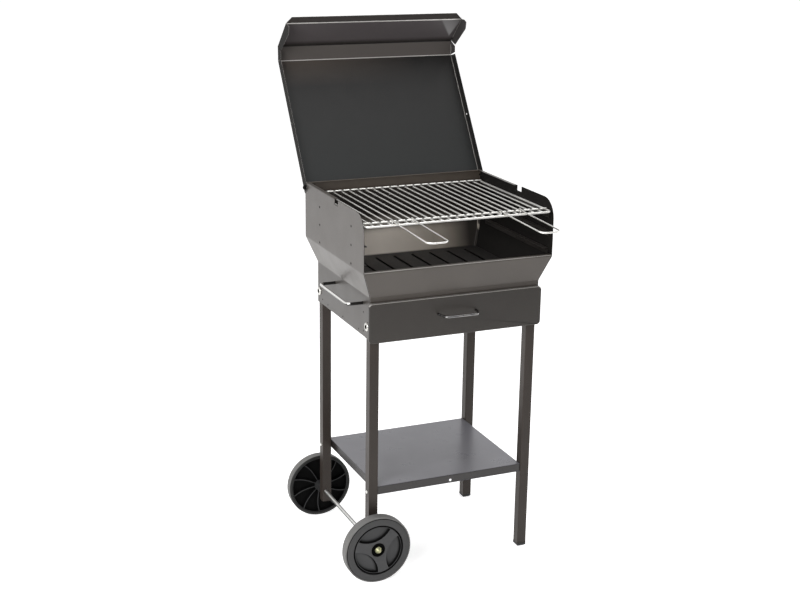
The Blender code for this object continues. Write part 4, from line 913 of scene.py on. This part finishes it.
def folded_sheet(name, node, thickness, slot, look=None, radius=FOLD_RADIUS, bright=None,
                 smooth=None):
    """A copy of a CAD sheet with rounded folds and edges. bright is the finish of its folds, a pale
    paint that stands for a painted highlight.
    """
    cad = frame["nodes"][node].data
    bare = bpy.data.meshes.new("bare")
    bare.from_pydata([v.co for v in cad.vertices], [], [tuple(p.vertices) for p in cad.polygons])
    bm = bmesh.new()
    bm.from_mesh(bare)
    bmesh.ops.remove_doubles(bm, verts=bm.verts, dist=0.01 * MM)
    bmesh.ops.dissolve_limit(bm, angle_limit=math.radians(1.5), verts=bm.verts, edges=bm.edges)
    weight = bm.edges.layers.float.new("bevel_weight_edge")
    for edge in bm.edges:
        if len(edge.link_faces) != 2 or edge.calc_face_angle(0.0) < math.radians(20):
            continue
        narrow = min(face.calc_area() / max(e.calc_length() for e in face.edges)
                     for face in edge.link_faces)
        if narrow < 1.5 * thickness:
            edge[weight] = CUT_SHARE
        elif edge.calc_face_angle_signed() > 0:
            edge[weight] = 1.0
        else:
            edge[weight] = INNER_SHARE
    obj = add_piece(name, mesh_of(name, bm, smooth), slot, node, look=look)
    bevel = obj.modifiers.new("rounded edges", "BEVEL")
    bevel.limit_method = "WEIGHT"
    bevel.width = radius
    bevel.segments = 3
    bevel.use_clamp_overlap = False
    bevel.harden_normals = smooth is not None
    if bright:
        obj.data.materials.append(finishes[bright])
        bevel.material = 1
    return obj


for leg in ("front_left", "back_left", "front_right", "back_right"):
    folded_sheet(f"tube_{leg}", f"leg_{leg}", 1.5 * MM, "leg_paint", smooth=60)
# Piece, node, thickness in mm, slot, finish, radius of its folds in mm, finish of its folds.
# The finishes of the folds are pale paints: painted highlights along the folds.
SHEETS = (
    ("side_sheet_left", "side_panel_left", 1.2, "body_paint", "side_paint", 2.2, None),
    ("side_sheet_right", "side_panel_right", 1.2, "body_paint", "side_paint", 2.2, None),
    ("back_sheet", "back_panel", 1.2, "body_paint", "back_paint", 2.2, None),
    ("sloping_sheet", "front_sheet", 1.2, "body_paint", None, 1.8, "fold_highlight_paint"),
    ("shelf_sheet", "shelf", 1.2, "shelf_paint", None, 1.8, None),
    ("drawer_face", "drawer_front", 1.2, "drawer_paint", None, 1.8, "drawer_fold_highlight_paint"),
    ("lid_sheet", "lid", 1.0, "lid_paint", None, 1.6, "lid_fold_highlight_paint"),
)
for name, node, thickness, slot, look, radius, bright in SHEETS:
    made = folded_sheet(name, node, thickness * MM, slot, look, radius * MM, bright)
    print(name, len(made.data.polygons), "faces before the bevel")

# %% [markdown]
# ## The wheels
#
# Each wheel is moulded in two plastics: a grey tyre with a broad flat face, and a black disc
# inside it with three deep pockets and a recessed hub. The back is hollow, stiffened by ten
# swept ribs. A turned profile makes tyre and disc. The pockets are cut with a boolean, as
# their outline is where two circles meet.

# %% Profiles turned about the axle
WHEEL_WIDTH = 27.0 * MM
RING_INNER = 65.5 * MM
HUB_RADIUS = 18.5 * MM
RIM_INNER = 81.5 * MM
wheel_boxes = {end: [Vector(c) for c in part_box(f"wheel_{end}")] for end in ("front", "back")}
WHEEL_RADIUS = (wheel_boxes["front"][1].x - wheel_boxes["front"][0].x) / 2


def band(bm, first, second):
    """Faces between two closed rings of points."""
    for i in range(len(first)):
        j = (i + 1) % len(first)
        bm.faces.new((first[i], first[j], second[j], second[i]))


def turned(profile, sides=96):
    """A closed solid of revolution about Y. profile lists (distance out, radius) in order."""
    bm = bmesh.new()
    rings = []
    for out, radius in profile:
        rings.append([bm.verts.new((radius * math.cos(2 * math.pi * i / sides), -out,
                                    radius * math.sin(2 * math.pi * i / sides)))
                      for i in range(sides)])
    for first, second in zip(rings, rings[1:] + rings[:1]):
        band(bm, first, second)
    return bm


def arc(centre, radius, start, end, steps=5):
    """Points of a quarter or so of a circle, as (out, radius) pairs."""
    points = []
    for i in range(steps + 1):
        angle = math.radians(start + (end - start) * i / steps)
        points.append((centre[0] + radius * math.cos(angle),
                       centre[1] + radius * math.sin(angle)))
    return points


BACK_ROUND = 2.0 * MM
SHOULDER = 3.4 * MM
SHOULDER_BACK = 4.6 * MM
GROOVE_DEPTH = 2.6 * MM
GROOVE_SIDES = (84.8 * MM, 85.4 * MM)
RING_OUTER = 83.2 * MM
RING_ROUND = 0.8 * MM
SEAT_ROUND = 1.0 * MM
SEAT_GAP = 2.2 * MM
SEAT_DEPTH = 6.0 * MM
tyre_profile = (
    [(0.0, RIM_INNER + 1.0 * MM)]
    + arc((BACK_ROUND, WHEEL_RADIUS - BACK_ROUND), BACK_ROUND, 180, 90)
    + arc((WHEEL_WIDTH - SHOULDER_BACK, WHEEL_RADIUS - SHOULDER), SHOULDER, 90, 20)
    + [(WHEEL_WIDTH - GROOVE_DEPTH, GROOVE_SIDES[1]),
       (WHEEL_WIDTH - GROOVE_DEPTH, GROOVE_SIDES[0])]
    + arc((WHEEL_WIDTH - RING_ROUND, RING_OUTER), RING_ROUND, 90, 0, 3)
    + arc((WHEEL_WIDTH - SEAT_ROUND, RING_INNER + SEAT_GAP + SEAT_ROUND), SEAT_ROUND, 0, -90, 4)
    + [(WHEEL_WIDTH - SEAT_DEPTH, RING_INNER + SEAT_GAP), (WHEEL_WIDTH - SEAT_DEPTH, RIM_INNER),
       (SEAT_DEPTH, RIM_INNER)]
)
tyre_base = mesh_of("tyre", turned(tyre_profile), 40)
print("tyre faces:", len(tyre_base.polygons))

# %% [markdown]
# The disc keeps the sizes of the CAD wheel: hub, web, rim and the back ribs that stand in the
# hollow. Boolean modifiers join and cut here; the result is copied out as a plain mesh, so
# that nothing is left live on the piece.

# %% The disc with its pockets and ribs
SPOKE_SINK = 1.5 * MM
POCKET_SINK = 12.0 * MM
WEB = 4.0 * MM
OFF_LEG = 21.0 * MM
AXLE_HOLE = 5.4 * MM
BACK_DEPTH = WHEEL_WIDTH - POCKET_SINK - WEB
DISC_SEAT = 6.3 * MM
FACE_ROUND = 1.0 * MM
HUB_ROUND = 1.5 * MM
HUB_SINK = 9.0 * MM
HUB_TAPER = (2.0 * MM, 3.0 * MM, 5.0 * MM)
RIM_WALL = 2.5 * MM
RIM_GAP = 0.2 * MM
disc_profile = (
    [(WHEEL_WIDTH - DISC_SEAT, RING_INNER + 2.0 * MM), (WHEEL_WIDTH - DISC_SEAT, RING_INNER),
     (WHEEL_WIDTH - SPOKE_SINK - FACE_ROUND, RING_INNER - 0.4 * MM)]
    + arc((WHEEL_WIDTH - SPOKE_SINK - FACE_ROUND, RING_INNER - 1.4 * MM), FACE_ROUND, 90, 0, 3)
    + arc((WHEEL_WIDTH - SPOKE_SINK - HUB_ROUND, HUB_RADIUS + HUB_ROUND), HUB_ROUND, 0, -80, 3)
    + [(WHEEL_WIDTH - HUB_SINK, HUB_RADIUS - 0.5 * MM), (WHEEL_WIDTH - HUB_SINK, AXLE_HOLE),
       (-OFF_LEG + 1.0 * MM, AXLE_HOLE), (-OFF_LEG + 1.0 * MM, HUB_RADIUS - HUB_TAPER[2]),
       (0.0, HUB_RADIUS - HUB_TAPER[1]), (BACK_DEPTH, HUB_RADIUS - HUB_TAPER[0]),
       (BACK_DEPTH, RIM_INNER - RIM_WALL), (1.0 * MM, RIM_INNER - 1.4 * MM),
       (0.4 * MM, RIM_INNER - RIM_GAP), (WHEEL_WIDTH - DISC_SEAT, RIM_INNER - RIM_GAP)]
)


def slab(outline, near, far):
    """A flat outline in (x, z) made solid between two distances out from the leg side."""
    bm = bmesh.new()
    first = [bm.verts.new((x, -near, z)) for x, z in outline]
    second = [bm.verts.new((x, -far, z)) for x, z in outline]
    band(bm, first, second)
    bm.faces.new(first)
    bm.faces.new(second)
    return bm


POCKET_RIM = 3.0 * MM
POCKET_NEAR = 25.0 * MM
POCKET_HALF_ANGLE = math.radians(46.0)


def pocket_outline(inset, steps=20):
    """The lens between the ring and a hollow arc, drawn in by inset all round."""
    edge = RING_INNER - POCKET_RIM - inset
    near = POCKET_NEAR + inset
    half_angle = POCKET_HALF_ANGLE - 1.4 * inset / edge
    reach = edge * math.cos(half_angle)
    far = (edge ** 2 - near ** 2) / (2 * (reach - near))
    radius = far - near
    swing = math.asin(edge * math.sin(half_angle) / radius)
    flat = []
    for i in range(steps + 1):
        angle = half_angle * (2 * i / steps - 1)
        flat.append((edge * math.cos(angle), edge * math.sin(angle)))
    for i in range(1, steps):
        angle = swing * (1 - 2 * i / steps)
        flat.append((far - radius * math.cos(angle), radius * math.sin(angle)))
    return flat


POCKET_LEVELS = ((WHEEL_WIDTH + 1.0 * MM, 0.0), (20.0 * MM, 0.0), (17.4 * MM, 1.2 * MM),
                 (15.8 * MM, 3.6 * MM), (15.0 * MM, 7.0 * MM))


def pocket(turn_by):
    """The block that hollows one pocket: its sides run into the floor in a curve."""
    bm = bmesh.new()
    rings = [[bm.verts.new((x * math.cos(turn_by) - z * math.sin(turn_by), -out,
                            x * math.sin(turn_by) + z * math.cos(turn_by)))
              for x, z in pocket_outline(inset)] for out, inset in POCKET_LEVELS]
    for first, second in zip(rings, rings[1:]):
        band(bm, first, second)
    bm.faces.new(rings[0])
    bm.faces.new(rings[-1])
    return bm


RIB_ROOT = 3.5 * MM
RIB_TIP = 0.8 * MM
RIB_SWEEP = math.radians(9.0)
RIB_HALF = 1.2 * MM


def rib_outline(start, steps=8):
    """A rib that leaves the hub straight and sweeps sideways on its way to the rim."""
    inner, outer = HUB_RADIUS - RIB_ROOT, RIM_INNER - RIB_TIP
    near, far = [], []
    for k in range(steps + 1):
        share = k / steps
        radius = inner + (outer - inner) * share
        angle = start - RIB_SWEEP * share * share
        half = RIB_HALF / radius
        near.append((radius * math.cos(angle - half), radius * math.sin(angle - half)))
        far.append((radius * math.cos(angle + half), radius * math.sin(angle + half)))
    return near + far[::-1]


def boolean(obj, bm, operation):
    """Joins bm to obj or cuts it out, and leaves a plain mesh."""
    tool = link(bpy.data.objects.new("tool", mesh_of("tool", bm)))
    modifier = obj.modifiers.new("boolean", "BOOLEAN")
    modifier.operation = operation
    modifier.solver = "EXACT"
    modifier.object = tool
    mesh = applied(obj)
    obj.modifiers.clear()
    obj.data = mesh
    bpy.data.objects.remove(tool)


POCKETS = 3
FIRST_POCKET = 104.0
RIBS = 10
FIRST_RIB = 28.0
blank = link(bpy.data.objects.new("blank", mesh_of("disc", turned(disc_profile))))
pockets = [pocket(math.radians(FIRST_POCKET + 360.0 / POCKETS * i)) for i in range(POCKETS)]
boolean(blank, merged([mesh_of("pocket", shape) for shape in pockets]), "DIFFERENCE")
ribs = [slab(rib_outline(math.radians(FIRST_RIB + 360.0 / RIBS * i)), 2.0 * MM,
             BACK_DEPTH + 0.5 * MM) for i in range(RIBS)]
boolean(blank, merged([mesh_of("rib", shape) for shape in ribs]), "UNION")
disc_base = blank.data
bpy.data.objects.remove(blank)
print("disc faces:", len(disc_base.polygons))


def measured(mesh):
    """Writes on each point how far out it lies along Y and how far from that axis."""
    out = mesh.attributes.new("out", "FLOAT", "POINT")
    radius = mesh.attributes.new("radius", "FLOAT", "POINT")
    for i, vertex in enumerate(mesh.vertices):
        out.data[i].value = -vertex.co.y
        radius.data[i].value = math.hypot(vertex.co.x, vertex.co.z)
    return mesh


measured(tyre_base)
measured(disc_base)

# %% Put a tyre and a disc on each end of the axle
for end, half_turn in (("front", 0.0), ("back", math.pi)):
    low, high = wheel_boxes[end]
    centre_x = (low.x + high.x) / 2
    centre_z = (low.z + high.z) / 2
    inner_y = low.y + WHEEL_WIDTH if end == "front" else high.y - WHEEL_WIDTH
    put = Matrix.Translation((centre_x, inner_y, centre_z)) @ Matrix.Rotation(half_turn, 4, "Z")
    for base, name, look, hides in ((tyre_base, "tyre", "tyre_plastic", True),
                                    (disc_base, "disc", "wheel_plastic", False)):
        mesh = base.copy()
        mesh.transform(put)
        mesh.shade_smooth()
        mesh.set_sharp_from_angle(angle=math.radians(40))
        add_piece(f"{name}_{end}", mesh, "wheel_plastic", f"wheel_{end}", hides, look)
print("wheel centres z in mm:", round(centre_z / MM, 2))

# %% [markdown]
# ## The leg bolts
#
# A bright dome-headed bolt with a deep socket holds each leg inside the body. The socket is
# dark because little light gets in, so the head reads as a ring.

# %% Four bolts with sockets
HEAD = 11.4 * MM
HEAD_HEIGHT = 4.0 * MM
HEAD_SIDE = 0.8 * MM
HEAD_ROUND = 3.2 * MM
SHANK = 3.0 * MM
SHANK_DEPTH = 8.0 * MM
SOCKET = 5.4 * MM
SOCKET_FLOOR = 1.2 * MM
PINHOLE = 0.3 * MM


def bolt_finish():
    """Zinc, with its socket painted dark: painted shade."""
    finish = Finish("bolt_zinc", Metallic=1.0)
    clouds = finish.noise(90.0, 3.0)
    tone = finish.blend(clouds, linear("d9d8d4"), linear("b3b1ab"))
    sunk = 1.0 - finish.mark("radius").above(SOCKET + 0.2 * MM, 0.4 * MM)
    tone = finish.coats(tone, (sunk, "1a1918"))
    finish.set(Base_Color=tone, Roughness=clouds * 0.2 + 0.12)


bolt_finish()
head_profile = (
    [(-SHANK_DEPTH, PINHOLE), (-SHANK_DEPTH, SHANK), (0.0, SHANK), (0.0, HEAD),
     (HEAD_SIDE, HEAD)]
    + arc((HEAD_SIDE, HEAD - HEAD_ROUND), HEAD_ROUND, 90, 10, 6)
    + [(HEAD_HEIGHT, SOCKET + 0.8 * MM), (HEAD_HEIGHT - 0.3 * MM, SOCKET),
       (SOCKET_FLOOR, SOCKET - 0.4 * MM), (1.0 * MM, PINHOLE)]
)
head_base = measured(mesh_of("head", turned(head_profile, 40), 35))
for label, turn_by in (("left", -math.pi / 2), ("right", math.pi / 2)):
    for end in ("front", "back"):
        low, high = (Vector(corner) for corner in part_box(f"leg_bolt_{end}_{label}"))
        seat = low.x + HEAD_HEIGHT if label == "left" else high.x - HEAD_HEIGHT
        mesh = head_base.copy()
        mesh.transform(Matrix.Translation((seat, (low.y + high.y) / 2, (low.z + high.z) / 2))
                       @ Matrix.Rotation(turn_by, 4, "Z"))
        add_piece(f"socket_bolt_{end}_{label}", mesh, "zinc", f"leg_bolt_{end}_{label}",
                  look="bolt_zinc")
print("bolt heads seated at x in mm:", round(seat / MM, 1))

# %% [markdown]
# ## Floor, backdrop and light
#
# The product stands on white paper. The floor is a large pale disc that keeps a shadow. Where
# the camera or a mirror looks at the world it is plain white, while the light that the world
# sheds is weaker, so that painted surfaces render about as their colour is written. The side
# behind the camera is a dark room, which keeps the front faces dark and gives the metal
# something to mirror. A big soft lamp from the left is the main light, with weaker ones from
# above and from the right.

# %% Floor
FLOOR_RADIUS = 60.0
FLOOR_GLOW = 0.72
FLOOR_BEHIND = -1.7


def ray_kinds(tree):
    """Three wires, each 1 for its kind of ray: camera, mirror, glass."""
    return [tree.node("ShaderNodeLightPath", out=f"Is {kind} Ray")
            for kind in ("Camera", "Glossy", "Transmission")]


def white_card():
    """White paper. It glows for the camera, and in mirrors from FLOOR_BEHIND to the back."""
    card = Finish("card", Roughness=0.9)
    speck = card.noise(30.0, 3.0)
    card.set(Base_Color=card.blend(speck, linear("f4f4f4"), linear("fafafa")))
    seen, gloss, through = ray_kinds(card)
    behind = card.axis("Y").above(FLOOR_BEHIND, 0.8)
    glow = card.node("ShaderNodeEmission", sockets={"Color": (1, 1, 1, 1), "Strength": FLOOR_GLOW})
    lit = card.node("ShaderNodeAddShader",
                    sockets={0: Wire(card, card.shader.outputs[0]), 1: glow})
    card.show(seen.most(gloss.most(through) * behind), lit.socket)


bm = bmesh.new()
bmesh.ops.create_circle(bm, cap_ends=True, segments=96, radius=FLOOR_RADIUS)
floor = link(bpy.data.objects.new("floor", mesh_of("floor", bm)))
white_card()
floor.data.materials.append(finishes["card"])
print("floor radius in m:", FLOOR_RADIUS)

# %% World
WORLD_LIGHT = 0.42
FRONT_SHADE = 0.75
world = bpy.data.worlds.new("studio")
bpy.context.scene.world = world
world.use_nodes = True
sky = Tree(world.node_tree.nodes, world.node_tree.links)
back = sky.nodes["Background"]
seen, gloss, through = ray_kinds(sky)
direction = sky.node("ShaderNodeTexCoord", out="Generated")
ahead = sky.node("ShaderNodeSeparateXYZ", sockets={"Vector": direction}, out="Y")
room = ahead.above(-0.35, 0.6) * FRONT_SHADE + (1.0 - FRONT_SHADE)
level = gloss.most(through) * (1.0 - WORLD_LIGHT) + WORLD_LIGHT
back.inputs["Color"].default_value = (1.0, 1.0, 1.0, 1.0)
sky.plug(back.inputs["Strength"], seen.most(level * room))
print("world light:", WORLD_LIGHT, "and in front:", WORLD_LIGHT * (1.0 - FRONT_SHADE))

# %% Lamps
def soft_lamp(name, place, aim, size, power):
    """A square lamp at place that faces aim."""
    light = bpy.data.lights.new(name, "AREA")
    light.size = size
    light.energy = power
    lamp = link(bpy.data.objects.new(name, light))
    lamp.rotation_euler = (Vector(aim) - Vector(place)).to_track_quat("-Z", "Y").to_euler()
    lamp.location = place


soft_lamp("key_left", (-2.6, -2.0, 2.0), (0.0, 0.0, 0.8), 2.0, 90.0)
soft_lamp("top", (0.3, 0.2, 3.4), (0.0, 0.0, 0.6), 2.4, 50.0)
soft_lamp("fill_right", (3.0, -1.2, 1.6), (0.0, 0.0, 0.8), 1.8, 15.0)
